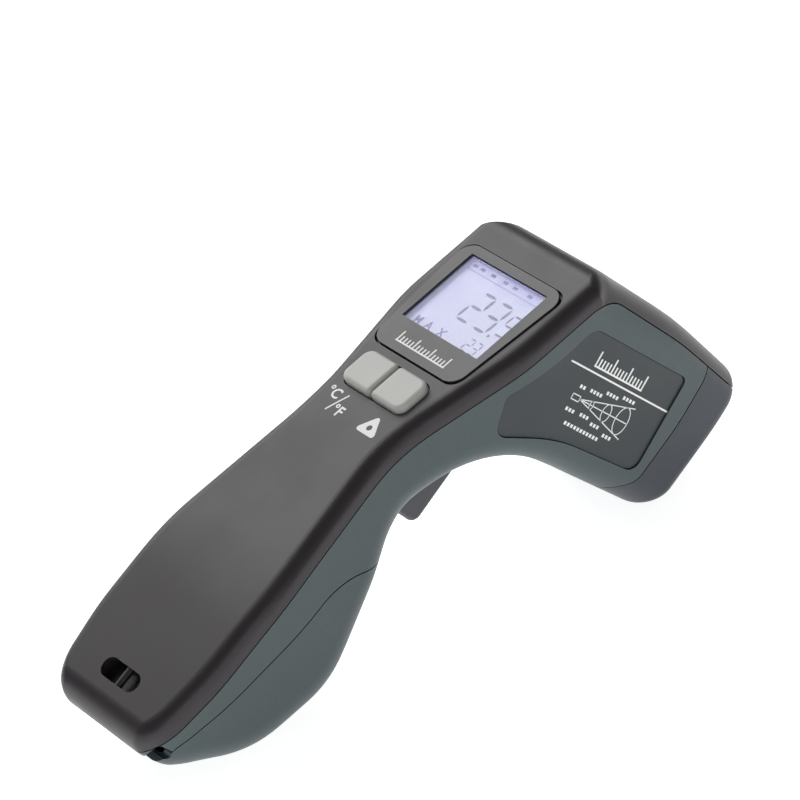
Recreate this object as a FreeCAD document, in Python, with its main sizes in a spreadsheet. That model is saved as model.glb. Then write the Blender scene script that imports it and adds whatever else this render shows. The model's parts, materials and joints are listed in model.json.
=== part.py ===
import FreeCAD, Part
import math
import os
import Sketcher
from FreeCAD import Placement, Rotation, Vector

# Infrared thermometer, pistol type. Sizes are in millimetres.
# The piece is drawn with its head level: x runs forward to the nose, y to the left and z up, from the
# point where the display axis meets the back face. Every sub-part then gets the one placement, REST,
# that lays the instrument down on its nose and its battery door with the display facing up.

SIZES = [
    ("wall", 2.2, "casing wall"),
    ("seam", 0.3, "gap between casing pieces"),
    ("lip", 1.8, "height of the lip behind a seam"),
    ("fit", 0.15, "clearance round a piece set into a recess"),
    ("lean", 26.8, "lean of the display face from upright, degrees"),
    ("grip_lean", 19.5, "lean of the middle of the handle's back, degrees"),
    ("end_lean", 12.7, "lean of the lower handle's back, degrees"),
    ("head_top", 20.6, "height of the head's top at the back"),
    ("head_floor", -22.0, "height of the head's underside at the nose"),
    ("nose_reach", 66.9, "nose's front edge ahead of the display"),
    ("nose_top", 15.4, "height of the nose's top edge"),
    ("handle_end", -118.5, "height of the handle's end"),
    ("neck_front", -2.6, "front of the neck"),
    ("palm_front", 0.3, "front of the swell of the handle"),
    ("head_half", 21.5, "half the head's width"),
    ("neck_half", 14.7, "half the neck's width"),
    ("palm_half", 21.5, "half the handle's greatest width"),
    ("end_half", 18.0, "half the handle's width at its end"),
    ("crown", 7.0, "round where the display face meets the top"),
    ("back_round", 3.5, "round of the back cover's edge"),
    ("front_round", 8.0, "round of the grip's front edges"),
    ("end_round", 6.0, "round of the nose's lower edge and the handle's end"),
    ("back_depth", 4.8, "depth of the back cover's side wall"),
    ("top_depth", 4.0, "depth of the back cover's side wall along the head"),
    ("nose_length", 12.8, "length of the nose bezel at its top"),
    ("label_skin", 0.7, "thickness of the label plates"),
    ("label_sink", 0.4, "depth of the label plates' face below the casing"),
    ("window_long", 21.7, "display window, down the face"),
    ("window_wide", 27.0, "display window, across"),
    ("bezel_top", 13.3, "top of the display bezel above the display's centre"),
    ("bezel_foot", 19.3, "foot of the display bezel below the display's centre"),
    ("bezel_head_half", 17.5, "half width of the bezel at its top"),
    ("bezel_foot_half", 14.9, "half width of the bezel at its foot"),
    ("bezel_round", 4.0, "corner round of the bezel"),
    ("bezel_thick", 1.6, "thickness of the display bezel"),
    ("bezel_proud", 0.4, "height of the bezel above the back face"),
    ("bezel_gap", 0.4, "gap round the bezel"),
    ("pane_thick", 1.0, "thickness of the display window"),
    ("lcd_thick", 2.2, "thickness of the display glass"),
    ("light_thick", 3.4, "thickness of the backlight"),
    ("lcd_margin", 1.2, "rim of the display glass round the window"),
    ("key_long", 9.8, "key, down the face"),
    ("key_wide", 10.7, "key, across"),
    ("key_split", 0.5, "gap between the two keys"),
    ("key_place", 27.0, "centre of the keys below the display's centre"),
    ("key_proud", 1.8, "height of the keys above the back face"),
    ("key_round", 2.6, "outer corner round of the keys"),
    ("key_gap", 0.35, "gap round the keys"),
    ("board_depth", 8.2, "main board's upper face below the back face"),
    ("board_thick", 1.6, "thickness of the boards"),
    ("board_wide", 34.0, "width of the main board behind the display"),
    ("board_waist", 24.0, "width of the main board behind the keys"),
    ("board_top", 17.5, "main board above the display's centre"),
    ("board_step", 15.0, "main board's wide part below the display's centre"),
    ("board_foot", 35.0, "main board below the display's centre"),
    ("switch_side", 6.0, "side of a switch housing"),
    ("switch_tall", 3.4, "height of a switch housing"),
    ("plunger_r", 1.7, "radius of a switch plunger"),
    ("plunger_tall", 1.1, "height of a switch plunger above its housing"),
    ("trigger_half", 4.5, "half the trigger's width"),
    ("trigger_x", 8.5, "trigger pin, forward"),
    ("trigger_z", -18.5, "trigger pin, height"),
    ("trigger_foot", -48.9, "height of the trigger's tip"),
    ("slot_gap", 0.5, "gap each side of the trigger"),
    ("pin_r", 1.5, "radius of the trigger pin"),
    ("door_pin_r", 1.0, "radius of the door's hinge pin"),
    ("door_x", -32.6, "door's hinge pin, forward"),
    ("door_above", 2.6, "door's hinge pin above the handle's end"),
    ("door_top", -56.5, "height of the door's upper edge at the front"),
    ("door_rise", 35.0, "slope of the door's upper edge, degrees"),
    ("knuckle_r", 2.3, "radius of the door's hinge knuckle"),
    ("knuckle_half", 6.0, "half the length of the door's hinge knuckle"),
    ("running", 0.05, "radial clearance of a pin that turns"),
    ("held", 0.02, "radial clearance of a pin that is held"),
    ("cell_long", 46.4, "battery body, length"),
    ("cell_wide", 26.5, "battery body, width"),
    ("cell_thick", 17.0, "battery body, thickness"),
    ("cell_x", -15.0, "battery's upper end, forward"),
    ("cell_z", -60.9, "battery's upper end, height"),
    ("tube_r", 9.5, "outer radius of the sensor tube"),
    ("tube_z", 3.4, "height of the sensor tube's axis"),
    ("tube_back", 30.0, "back end of the sensor tube"),
    ("aperture_r", 8.0, "radius of the opening in the nose"),
    ("laser_r", 3.2, "radius of the laser module"),
    ("laser_z", -11.2, "height of the laser's axis"),
    ("laser_long", 16.0, "length of the laser module"),
    ("beam_r", 2.0, "radius of the laser's opening"),
    ("slot_wide", 13.0, "lanyard slot, across"),
    ("slot_tall", 4.8, "lanyard slot, up and down"),
    ("slot_place", 12.2, "lanyard slot above the handle's end"),
    ("screw_r", 1.1, "radius of a casing screw's shank"),
    ("screw_head_r", 2.1, "radius of a casing screw's head"),
    ("screw_long", 15.0, "length of a casing screw's shank"),
    ("boss_r", 2.8, "radius of a screw boss"),
]

doc = FreeCAD.newDocument("InfraredThermometer")
sheet = doc.addObject("Spreadsheet::Sheet", "Sizes")
for row, (alias, value, meaning) in enumerate(SIZES, 1):
    sheet.set(f"A{row}", meaning)
    sheet.set(f"B{row}", str(value))
    sheet.setAlias(f"B{row}", alias)
doc.recompute()


class Reader:
    """Reads a size from the sheet by its alias."""

    def __getattr__(self, alias):
        return float(sheet.get(alias))


size = Reader()
ALONG_Y = Vector(0, 1, 0)
PIECES = []


# ---------------------------------------------------------------- outlines

def inset_corners(corners, inset):
    """The same outline moved inwards, with its round corners kept concentric."""
    count = len(corners)
    area = sum(corners[i - 1][0] * corners[i][1] - corners[i][0] * corners[i - 1][1] for i in range(count))
    turn = math.copysign(1, area)
    lines = []
    for i in range(count):
        a0, b0 = corners[i][:2]
        a1, b1 = corners[(i + 1) % count][:2]
        length = math.hypot(a1 - a0, b1 - b0)
        da, db = (a1 - a0) / length, (b1 - b0) / length
        lines.append((a0 - db * turn * inset, b0 + da * turn * inset, da, db))
    moved = []
    for i in range(count):
        pa, pb, da, db = lines[i - 1]
        qa, qb, ea, eb = lines[i]
        cross = da * eb - db * ea
        along = ((qa - pa) * eb - (qb - pb) * ea) / cross
        radius = corners[i][2]
        if radius:
            radius = max(radius - math.copysign(inset, cross * turn), 0.3)
        moved.append((pa + da * along, pb + db * along, radius))
    return moved


def rounded_wire(corners, place):
    """A closed wire through (a, b, radius) corners with tangent arcs; place turns (a, b) into a point."""
    count = len(corners)
    points = [place(a, b) for a, b, _ in corners]
    arcs = []
    for i, (_, _, radius) in enumerate(corners):
        back = (points[i - 1] - points[i]).normalize()
        ahead = (points[(i + 1) % count] - points[i]).normalize()
        half = back.getAngle(ahead) / 2
        reach = radius / math.tan(half)
        middle = points[i]
        if radius:
            middle = points[i] + (back + ahead).normalize() * (radius / math.sin(half) - radius)
        arcs.append((points[i] + back * reach, middle, points[i] + ahead * reach, radius))
    edges = []
    for i, (start, middle, end, radius) in enumerate(arcs):
        if radius:
            edges.append(Part.Arc(start, middle, end).toShape())
        following = arcs[(i + 1) % count][0]
        if (following - end).Length > 1e-4:
            edges.append(Part.LineSegment(end, following).toShape())
    return Part.Wire(edges)


def side_prism(corners, low=-40.0, high=40.0):
    """Side-view outline of (x, z, radius) corners, as a solid from y = low to y = high."""
    face = Part.Face(rounded_wire(corners, lambda x, z: Vector(x, low, z)))
    return face.extrude(Vector(0, high - low, 0))


def slope(angle):
    return math.tan(math.radians(angle))


def back_lines(depth=0.0):
    """Corner points of the back, moved forward by depth: (x, z) of the two bends."""
    upper, lower = -37.1, size.handle_end + 43.7
    origin = -0.4 + depth / math.cos(math.radians(size.lean))
    bend = (origin + upper * slope(size.lean), upper)
    knee = (bend[0] + (lower - upper) * slope(size.grip_lean), lower)
    return bend, knee


def back_x(z):
    """Forward place of the flat back at a height."""
    bend, knee = back_lines()
    if z > bend[1]:
        return bend[0] + (z - bend[1]) * slope(size.lean)
    if z > knee[1]:
        return bend[0] + (z - bend[1]) * slope(size.grip_lean)
    return knee[0] + (z - knee[1]) * slope(size.end_lean)


def side_corners():
    """Outline of the instrument from its left side."""
    bend, knee = back_lines()
    nose, end, palm = size.nose_reach, size.handle_end, size.palm_front
    return [
        (back_x(size.head_top), size.head_top, size.crown),
        (nose - 25, size.head_top - 1.2, 120),
        (nose, size.nose_top, 0),
        (nose - 0.5, size.nose_top - 12.4, 70),
        (nose - 4.7, size.head_floor, 0),
        (nose - 37, size.head_floor - 0.9, 140),
        (12.5, size.head_floor - 2.2, 26),
        (size.neck_front, -49.0, 18),
        (size.neck_front + 2.4, -63.0, 45),
        (palm, end + 30.5, 26),
        (palm - 10.3, end + 10.5, 30),
        (palm - 27.3, end, 0),
        (back_x(end), end, 0),
        (knee[0], knee[1], 168),
        (bend[0], bend[1], 125),
    ]


# The back-view outline is drawn down the back and swept forward along this direction.
SWEEP = math.radians(20)
DOWN = Vector(-math.sin(SWEEP), 0, -math.cos(SWEEP))
FORWARD = Vector(math.cos(SWEEP), 0, -math.sin(SWEEP))


def back_corners():
    """Outline from behind, as (y, distance down the back, radius) corners, left half then right half."""
    end = -size.handle_end
    half = [
        (size.head_half, -60, 0),
        (size.head_half, 5.5, 45),
        (size.neck_half, 38.4, 53),
        (size.palm_half, end - 38.5, 80),
        (size.palm_half, end - 15.5, 60),
        (size.end_half, end + 8, 15),
    ]
    return half + [(-y, down, radius) for y, down, radius in reversed(half)]


def edge_round(edge, faces, inset):
    """Radius for an edge of the bare casing, or None where its faces run on smoothly."""
    middle = edge.valueAt((edge.FirstParameter + edge.LastParameter) / 2)
    normals = [face.normalAt(*face.Surface.parameter(middle)) for face in faces]
    if normals[0].getAngle(normals[1]) < 0.3:
        return None
    in_profile = [abs(normal.y) < 0.01 for normal in normals]
    if all(in_profile):
        radius = size.back_round if middle.z > 0 else size.end_round
        return max(radius - inset, 0.8)
    normal = normals[0] if in_profile[0] else normals[1]
    at_nose = middle.x > size.nose_reach - 6
    at_end = middle.z < size.handle_end + 1 + inset
    if (normal.x > 0.02 or normal.z < -0.5) and not at_nose and not at_end:
        return size.front_round - inset
    return max(size.back_round - inset, 0.8)


def casing(inset=0.0):
    """The whole outer form, or the same form inset by a distance, with its edges rounded."""
    profile = side_prism(inset_corners(side_corners(), inset))
    corners = inset_corners(back_corners(), inset)
    face = Part.Face(rounded_wire(corners, lambda y, down: Vector(0, y, 0) + DOWN * down - FORWARD * 60))
    bare = profile.common(face.extrude(FORWARD * 190)).Solids[0]
    faces_of = {}
    for face in bare.Faces:
        for edge in face.Edges:
            faces_of.setdefault(edge.hashCode(), []).append(face)
    holder = doc.addObject("Part::Feature", "Casing")
    holder.Shape = bare
    rounded = doc.addObject("Part::Fillet", "CasingRounded")
    rounded.Base = holder
    rounds = []
    for number, edge in enumerate(bare.Edges, 1):
        radius = edge_round(edge, faces_of[edge.hashCode()], inset)
        if radius:
            rounds.append((number, radius, radius))
    rounded.Edges = rounds
    doc.recompute()
    shape = rounded.Shape.copy()
    if shape.isNull() or not shape.isValid():
        raise RuntimeError(f"the casing at inset {inset} has bad rounds")
    doc.removeObject(rounded.Name)
    doc.removeObject(holder.Name)
    return shape.Solids[0]


# ---------------------------------------------------------------- zones that split the casing

def back_zone(shift=0.0):
    """Everything behind the back cover's seam, moved forward and down by shift."""
    bend, knee = back_lines(size.back_depth + shift)
    far, end = size.nose_reach + 20, size.handle_end - 30
    depth = size.top_depth + shift
    top = size.head_top - depth
    corner = back_lines(size.back_depth + shift)[0][0] + (top - bend[1]) * slope(size.lean)
    nose_z = size.nose_top - depth + 0.6
    fall = (nose_z - (top - 1.2)) / 25
    return side_prism([
        (corner, top, max(9.0 - shift, 0.5)),
        (size.nose_reach - 25, top - 1.2, 100),
        (far, top - 1.2 + fall * (far - size.nose_reach + 25), 0),
        (far, 60, 0),
        (-90, 60, 0),
        (-90, end, 0),
        (knee[0] + (end - knee[1]) * slope(size.end_lean), end, 0),
        (knee[0], knee[1], 160),
        (bend[0], bend[1], 120),
    ])


def nose_zone(shift=0.0):
    """Everything ahead of the nose bezel's seam, moved back by shift."""
    seam = size.nose_reach - size.nose_length - shift
    floor = size.head_floor
    return side_prism([
        (seam, 60, 0),
        (seam - 0.9, floor + 21, 60),
        (seam - 3.6, floor + 5, 6),
        (seam - 13, floor - 6, 0),
        (seam + 60, floor - 6, 0),
        (seam + 60, 60, 0),
    ])


def door_corners(shift=0.0):
    """Outline of the battery door's zone, moved outwards by shift."""
    pin_z = size.handle_end + size.door_above
    rise = slope(size.door_rise)
    side = slope(21.0)
    x_seam, z_seam = size.door_x + 0.4, pin_z + 3
    top = size.door_top
    # the upper edge's line meets the side seam's line here
    corner_x = (x_seam + side * (top + rise * 0.5 - z_seam)) / (1 - side * rise)
    corner_z = top + rise * (corner_x + 0.5)
    corners = [
        (corner_x, corner_z, 22),
        (30, top + rise * 30.5, 0),
        (30, size.handle_end - 20, 0),
        (x_seam, size.handle_end - 20, 0),
        (x_seam, z_seam, 5),
    ]
    return inset_corners(corners, -shift)


def label_corners(shift=0.0):
    """Outline of a label plate on the side of the head."""
    right = size.nose_reach - 18.9
    left = size.head_half - 20.0
    corners = [
        (right, 8.9, 1.8),
        (right, size.head_floor + 6.8, 3.5),
        (left + 20, size.head_floor + 5.6, 40),
        (left + 4.6, size.head_floor - 0.6, 3.5),
        (left + 0.2, size.head_floor + 8.4, 3),
        (left + 8.4, -0.2, 30),
        (left + 12.6, 8.9, 4),
    ]
    return inset_corners(corners, -shift)


# ---------------------------------------------------------------- placements

FACE = Placement(Vector(back_x(0), 0, 0), Rotation(ALONG_Y, 90 + size.lean))


def on_face(down, across, depth):
    """A point below the display's centre, to the left, and deeper than the back face."""
    return FACE.multVec(Vector(down, across, depth))


def face_place(down, across, depth):
    return Placement(on_face(down, across, depth), FACE.Rotation)


def nose_place(x, z, y=0.0):
    """A frame whose own z axis points forward."""
    return Placement(Vector(x, y, z), Rotation(ALONG_Y, 90))


def across_place(x, z, y):
    """A frame whose own z axis points to the left."""
    return Placement(Vector(x, y, z), Rotation(Vector(1, 0, 0), -90))


def resting_angle(shape):
    """Turn about y that brings the nose's lower lip and the door's belly level."""
    points = shape.tessellate(0.05)[0]
    nose = [point for point in points if point.x > 20]
    belly = [point for point in points if point.z < -60]
    low, high = math.radians(30), math.radians(75)
    for _ in range(40):
        turn = (low + high) / 2
        height = [min(point.z * math.cos(turn) - point.x * math.sin(turn) for point in group)
                  for group in (nose, belly)]
        if height[0] > height[1]:
            low = turn
        else:
            high = turn
    return math.degrees(turn)


# ---------------------------------------------------------------- making pieces

def part_feature(label, shape):
    """A piece whose shape is cut from the casing's own surfaces."""
    solids = shape.Solids
    piece = doc.addObject("Part::Feature", label)
    piece.Shape = solids[0] if len(solids) == 1 else Part.makeCompound(solids)
    piece.Placement = REST
    PIECES.append(piece)
    return piece


def keep(piece, label, place=None):
    """Name a finished sub-part and lay it down with the rest."""
    piece.Label = label
    piece.Placement = REST.multiply(place) if place else REST
    PIECES.append(piece)
    return piece


def block(name, length, width, height, corner):
    """A Part box bound to the sheet; corner is a placement in the drawing frame."""
    box = doc.addObject("Part::Box", name)
    for prop, formula in (("Length", length), ("Width", width), ("Height", height)):
        box.setExpression(prop, formula)
    box.Placement = corner
    return box


def rod(name, radius, height, place):
    """A Part cylinder bound to the sheet, rising along its placement's own z axis."""
    cylinder = doc.addObject("Part::Cylinder", name)
    cylinder.setExpression("Radius", radius)
    cylinder.setExpression("Height", height)
    cylinder.Placement = place
    return cylinder


def origin_plane(body, role):
    return next(feature for feature in body.Origin.OriginFeatures if feature.Role == role)


def sketch_outline(body, name, role, points):
    """A closed sketch of straight lines whose corners follow (a, b) formulas."""
    sketch = body.newObject("Sketcher::SketchObject", name)
    sketch.AttachmentSupport = (origin_plane(body, role), [""])
    sketch.MapMode = "FlatFace"
    count = len(points)
    rough = [Vector(*(value_of(formula) for formula in point), 0) for point in points]
    for i in range(count):
        sketch.addGeometry(Part.LineSegment(rough[i], rough[(i + 1) % count]), False)
    for i in range(count):
        sketch.addConstraint(Sketcher.Constraint("Coincident", i, 2, (i + 1) % count, 1))
    for i, (a, b) in enumerate(points):
        for kind, formula, value in (("DistanceX", a, rough[i].x), ("DistanceY", b, rough[i].y)):
            index = sketch.addConstraint(Sketcher.Constraint(kind, -1, 1, i, 1, value))
            sketch.setExpression(f"Constraints[{index}]", formula)
    return sketch


def value_of(formula):
    """A formula's value, worked out by the sheet."""
    sheet.set("D1", f"={formula.replace('Sizes.', '')}")
    sheet.recompute()
    return float(sheet.get("D1"))


def padded(label, role, points, length, midplane=True, reverse=False):
    """A PartDesign body: an outline padded by a length."""
    body = doc.addObject("PartDesign::Body", label)
    sketch = sketch_outline(body, f"{label}_outline", role, points)
    pad = body.newObject("PartDesign::Pad", f"{label}_pad")
    pad.Profile = sketch
    pad.setExpression("Length", length)
    pad.Midplane = midplane
    pad.Reversed = reverse
    doc.recompute()
    return body


def turned(label, points):
    """A PartDesign body: a half section of (radius, height) formulas revolved about its z axis."""
    body = doc.addObject("PartDesign::Body", label)
    sketch = sketch_outline(body, f"{label}_section", "XZ_Plane", points)
    spin = body.newObject("PartDesign::Revolution", f"{label}_turned")
    spin.Profile = sketch
    spin.ReferenceAxis = (sketch, ["V_Axis"])
    spin.Angle = 360
    doc.recompute()
    return body


def rounded_edges(body, radius, wanted):
    """Round the edges of a body's tip that a test picks."""
    tip = body.Tip
    names = [f"Edge{i}" for i, edge in enumerate(tip.Shape.Edges, 1) if wanted(edge)]
    fillet = body.newObject("PartDesign::Fillet", f"{body.Name}_round{len(body.Group)}")
    fillet.Base = (tip, names)
    fillet.setExpression("Radius", radius)
    doc.recompute()
    return fillet


def bored(piece, label, tools):
    """A piece with tool shapes cut away."""
    cut = doc.addObject("Part::Cut", label)
    cut.Base = piece
    cut.Tool = joined(tools, f"{label}_tools")
    doc.recompute()
    return cut


def joined(shapes, name):
    """Several document shapes as one."""
    if len(shapes) == 1:
        return shapes[0]
    fuse = doc.addObject("Part::MultiFuse", name)
    fuse.Shapes = shapes
    doc.recompute()
    return fuse


def cylinder_y(x, z, radius, low, high):
    """A cylinder across the instrument, from y = low to y = high."""
    return Part.makeCylinder(radius, high - low, Vector(x, low, z), ALONG_Y)


def slab(x0, x1, y0, y1, z0, z1):
    return Part.makeBox(x1 - x0, y1 - y0, z1 - z0, Vector(x0, y0, z0))


def face_slab(down, across, long, wide, shallow, deep, radius=0.0):
    """A rounded rectangle on the display face, cut between two depths."""
    corners = [
        (down - long / 2, across - wide / 2, radius),
        (down + long / 2, across - wide / 2, radius),
        (down + long / 2, across + wide / 2, radius),
        (down - long / 2, across + wide / 2, radius),
    ]
    return face_prism(corners, shallow, deep)


def face_prism(corners, shallow, deep):
    """An outline of (down, across, radius) corners on the display face, between two depths."""
    face = Part.Face(rounded_wire(corners, lambda down, across: on_face(down, across, shallow)))
    return face.extrude(FACE.Rotation.multVec(Vector(0, 0, deep - shallow)))


def face_rod(down, across, radius, shallow, deep):
    inward = FACE.Rotation.multVec(Vector(0, 0, 1))
    return Part.makeCylinder(radius, deep - shallow, on_face(down, across, shallow), inward)


def bezel_corners(grow=0.0):
    """Outline of the display bezel on the display face."""
    corners = [
        (-size.bezel_top, -size.bezel_head_half, size.bezel_round),
        (size.bezel_foot, -size.bezel_foot_half, size.bezel_round),
        (size.bezel_foot, size.bezel_foot_half, size.bezel_round),
        (-size.bezel_top, size.bezel_head_half, size.bezel_round),
    ]
    return inset_corners(corners, -grow)


def tube_path(points):
    """A wire of straight runs joined by arcs as large as the runs allow."""
    edges = []
    start = points[0]
    for i in range(1, len(points) - 1):
        back, ahead = points[i - 1] - points[i], points[i + 1] - points[i]
        reach = 0.45 * min(back.Length, ahead.Length)
        back.normalize()
        ahead.normalize()
        half = back.getAngle(ahead) / 2
        radius = reach * math.tan(half)
        middle = points[i] + (back + ahead).normalize() * (radius / math.sin(half) - radius)
        first, last = points[i] + back * reach, points[i] + ahead * reach
        edges.append(Part.LineSegment(start, first).toShape())
        edges.append(Part.Arc(first, middle, last).toShape())
        start = last
    edges.append(Part.LineSegment(start, points[-1]).toShape())
    return Part.Wire(edges)


def tube(points, radius):
    """A round wire or lead along a path."""
    path = tube_path(points)
    section = Part.Wire(Part.makeCircle(radius, points[0], points[1] - points[0]))
    return path.makePipeShell([section], True, True)


# ---------------------------------------------------------------- casing shells

OUTER = casing()
INNER = casing(size.wall)
HALF = casing(size.wall / 2)
LIPPED = casing(size.wall / 2 + 0.1)
SHELL = OUTER.cut(INNER)
LIP_SKIN = LIPPED.cut(INNER)
LABEL_FLOOR = casing(size.label_sink + size.label_skin)

turn = resting_angle(OUTER)
laid = [Rotation(ALONG_Y, turn).multVec(point) for point in OUTER.tessellate(0.02)[0]]
low_corner = Vector(*(min(point[axis] for point in laid) for axis in range(3)))
high_corner = Vector(*(max(point[axis] for point in laid) for axis in range(3)))
REST = Placement(-Vector((low_corner.x + high_corner.x) / 2, 0, low_corner.z), Rotation(ALONG_Y, turn))

PIN_Z = size.handle_end + size.door_above
SCREWS = [
    (22.0, size.head_top - 8.6),
    (22.0, size.head_floor + 4.0),
    (size.nose_reach - 22.9, size.head_floor + 4.4),
    (size.neck_front - 6.4, -49.5),
]
SCREW_SEAT = 8.5
BOARD_SCREWS = [(-size.board_top + 2.1, 13.5), (-size.board_top + 2.1, -13.5),
                (size.board_step + 3.2, 9.5), (size.board_step + 3.2, -9.5)]


def obround(place, wide, tall, deep):
    """A slot across the handle, cut inwards along its placement's z axis."""
    radius = tall / 2
    run = wide / 2 - radius
    middle = Part.makeBox(tall, 2 * run, deep, Vector(-radius, -run, 0))
    ends = [Part.makeCylinder(radius, deep, Vector(0, side * run, 0)) for side in (-1, 1)]
    shape = middle.multiFuse(ends).removeSplitter()
    shape.Placement = place
    return shape


SLOT_Z = size.handle_end + size.slot_place
SLOT_PLACE = Placement(Vector(back_x(SLOT_Z), 0, SLOT_Z), Rotation(ALONG_Y, 90 + size.end_lean))
SLOT_CUP = 4.6
BAR_DEPTH = 1.6
BAR_R = 0.9


def slot_at(depth):
    return SLOT_PLACE.multiply(Placement(Vector(0, 0, depth), Rotation()))


def make_cover():
    """The one-piece back and top cover with its openings, screw bosses and lanyard cup."""
    cover = SHELL.common(back_zone())
    cover = cover.cut(HALF.cut(back_zone(-size.lip - 0.2)))
    bosses = [face_rod(down, across, 2.0, size.wall / 2, size.board_depth) for down, across in BOARD_SCREWS]
    cup = obround(slot_at(size.wall / 2), size.slot_wide + 2.4, size.slot_tall + 2.4, SLOT_CUP - size.wall / 2)
    cover = cover.multiFuse([boss.common(HALF) for boss in bosses] + [cup.common(HALF)])
    lcd_opening = 2 * (size.lcd_margin + size.fit)
    opening_long = size.key_long + 2 * size.key_gap
    opening_wide = 2 * (size.key_wide + size.key_gap) + size.key_split
    cutters = [
        face_prism(bezel_corners(size.bezel_gap), -2, size.bezel_thick - size.bezel_proud),
        face_slab(0, 0, lcd_opening + size.window_long, lcd_opening + size.window_wide, -2, size.wall + 1, 0.6),
        face_slab(size.key_place, 0, opening_long, opening_wide, -2, size.wall + 1,
                  size.key_round + size.key_gap),
        obround(slot_at(-2), size.slot_wide, size.slot_tall, SLOT_CUP + 2 - 0.9),
        Part.makeCylinder(BAR_R + size.held, size.slot_tall + 1.6, Vector(-size.slot_tall / 2 - 0.8, 0, BAR_DEPTH),
                          Vector(1, 0, 0)).transformGeometry(SLOT_PLACE.toMatrix()),
    ]
    cutters += [face_rod(down, across, 0.85, size.board_depth - 4.5, size.board_depth + 1)
                for down, across in BOARD_SCREWS]
    for cutter in cutters:
        cover = cover.cut(cutter)
    return cover


def make_lower():
    """The casing ahead of the back cover, in one piece, with the lip that locates the cover."""
    lower = SHELL.cut(back_zone(size.seam))
    lip = LIP_SKIN.common(back_zone(size.seam + 1.0)).cut(back_zone(-size.lip))
    return lower.fuse(lip)


def make_nose(lower):
    """The nose bezel with its openings for the sensor and the laser, and a sleeve behind its seam."""
    sleeve = LIP_SKIN.common(nose_zone(size.seam + size.lip)).cut(nose_zone(-1.0)).cut(back_zone(size.seam))
    nose = lower.common(nose_zone()).fuse(sleeve)
    front = size.nose_reach
    openings = [
        Part.makeCylinder(size.aperture_r, 20, Vector(front - 12, 0, size.tube_z), Vector(1, 0, 0)),
        Part.makeCone(size.aperture_r - 1.0, size.aperture_r + 2.0, 3.0,
                      Vector(front - 3.0, 0, size.tube_z), Vector(1, 0, 0)),
        Part.makeCylinder(size.beam_r + 0.7, 20, Vector(front - 12, 0, size.laser_z), Vector(1, 0, 0)),
    ]
    for opening in openings:
        nose = nose.cut(opening)
    return nose


def make_door(lower):
    """The battery door: the lower front of the handle with its hinge knuckle."""
    door = lower.common(side_prism(door_corners()))
    knuckle = cylinder_y(size.door_x, PIN_Z, size.knuckle_r, -size.knuckle_half, size.knuckle_half)
    behind = slab(size.door_x - 12, size.door_x, -40, 40, size.handle_end - 1, PIN_Z)
    heel = cylinder_y(size.door_x, PIN_Z, size.knuckle_r + 0.8, -40, 40)
    heel = heel.common(slab(size.door_x - 1.7, size.door_x, -40, 40, size.handle_end - 1, PIN_Z))
    door = door.cut(behind.cut(heel)).fuse(knuckle)
    notch = size.knuckle_r + 0.3
    for side in (-1, 1):
        near, far = sorted((side * (size.knuckle_half + 0.15), side * (size.knuckle_half + 4.1)))
        door = door.cut(slab(size.door_x - notch, size.door_x + notch, near, far,
                             size.handle_end - 1, PIN_Z + notch))
    return door.cut(cylinder_y(size.door_x, PIN_Z, size.door_pin_r + size.running, -20, 20))


def make_half(lower, side):
    """The left (side 1) or right (side -1) body shell with its bosses, pockets and cut-outs."""
    shell = lower.cut(nose_zone(size.seam)).cut(side_prism(door_corners(size.seam)))
    shell = shell.cut(HALF.common(nose_zone(size.seam + size.lip + 0.2)))
    near, far = sorted((side * 0.05, side * 40))
    shell = shell.common(slab(-90, 120, near, far, -160, 60))
    clear = size.trigger_half + size.slot_gap
    swing = size.knuckle_r + 1.1
    additions = [cylinder_y(x, z, size.boss_r, near, far) for x, z in SCREWS]
    low, high = sorted((side * clear, side * 40))
    additions.append(cylinder_y(size.trigger_x, size.trigger_z, size.pin_r + 1.7, low, high))
    low, high = sorted((side * (size.knuckle_half + 0.4), side * (size.knuckle_half + 3.7)))
    additions.append(cylinder_y(size.door_x, PIN_Z, size.knuckle_r - 0.2, low, high))
    low, high = sorted((side * (size.knuckle_half + 0.4), side * 40))
    additions.append(slab(size.door_x - 2.8, size.door_x - 0.3, low, high, PIN_Z, PIN_Z + 5.0))
    shell = shell.multiFuse([addition.common(HALF).cut(back_zone(size.seam)) for addition in additions])
    cutters = [
        side_prism(label_corners(size.fit)).cut(LABEL_FLOOR),
        slab(size.neck_front - 5.4, 16.4, -clear, clear, -47.5, -21),
        cylinder_y(size.trigger_x, size.trigger_z, size.pin_r + size.held, -9.5, 9.5),
        cylinder_y(size.door_x, PIN_Z, size.door_pin_r + size.held,
                   -size.knuckle_half - 3.4, size.knuckle_half + 3.4),
        cylinder_y(size.door_x, PIN_Z, swing, -size.knuckle_half - 0.3, size.knuckle_half + 0.3),
    ]
    for end in (-1, 1):
        low, high = sorted((end * (size.knuckle_half + 3.8), end * 40))
        below = slab(size.door_x - 10, size.door_x + 10, low, high, PIN_Z - 10, PIN_Z + 1.6)
        cutters.append(cylinder_y(size.door_x, PIN_Z, swing, low, high).common(below))
    for x, z in SCREWS:
        if side > 0:
            cutters.append(cylinder_y(x, z, size.screw_r + 0.2, -1, SCREW_SEAT + 1))
            cutters.append(cylinder_y(x, z, size.screw_head_r + 0.3, SCREW_SEAT, 40))
        else:
            cutters.append(cylinder_y(x, z, size.screw_r + size.held, SCREW_SEAT - size.screw_long - 1, 1))
    for cutter in cutters:
        shell = shell.cut(cutter)
    return shell


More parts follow.
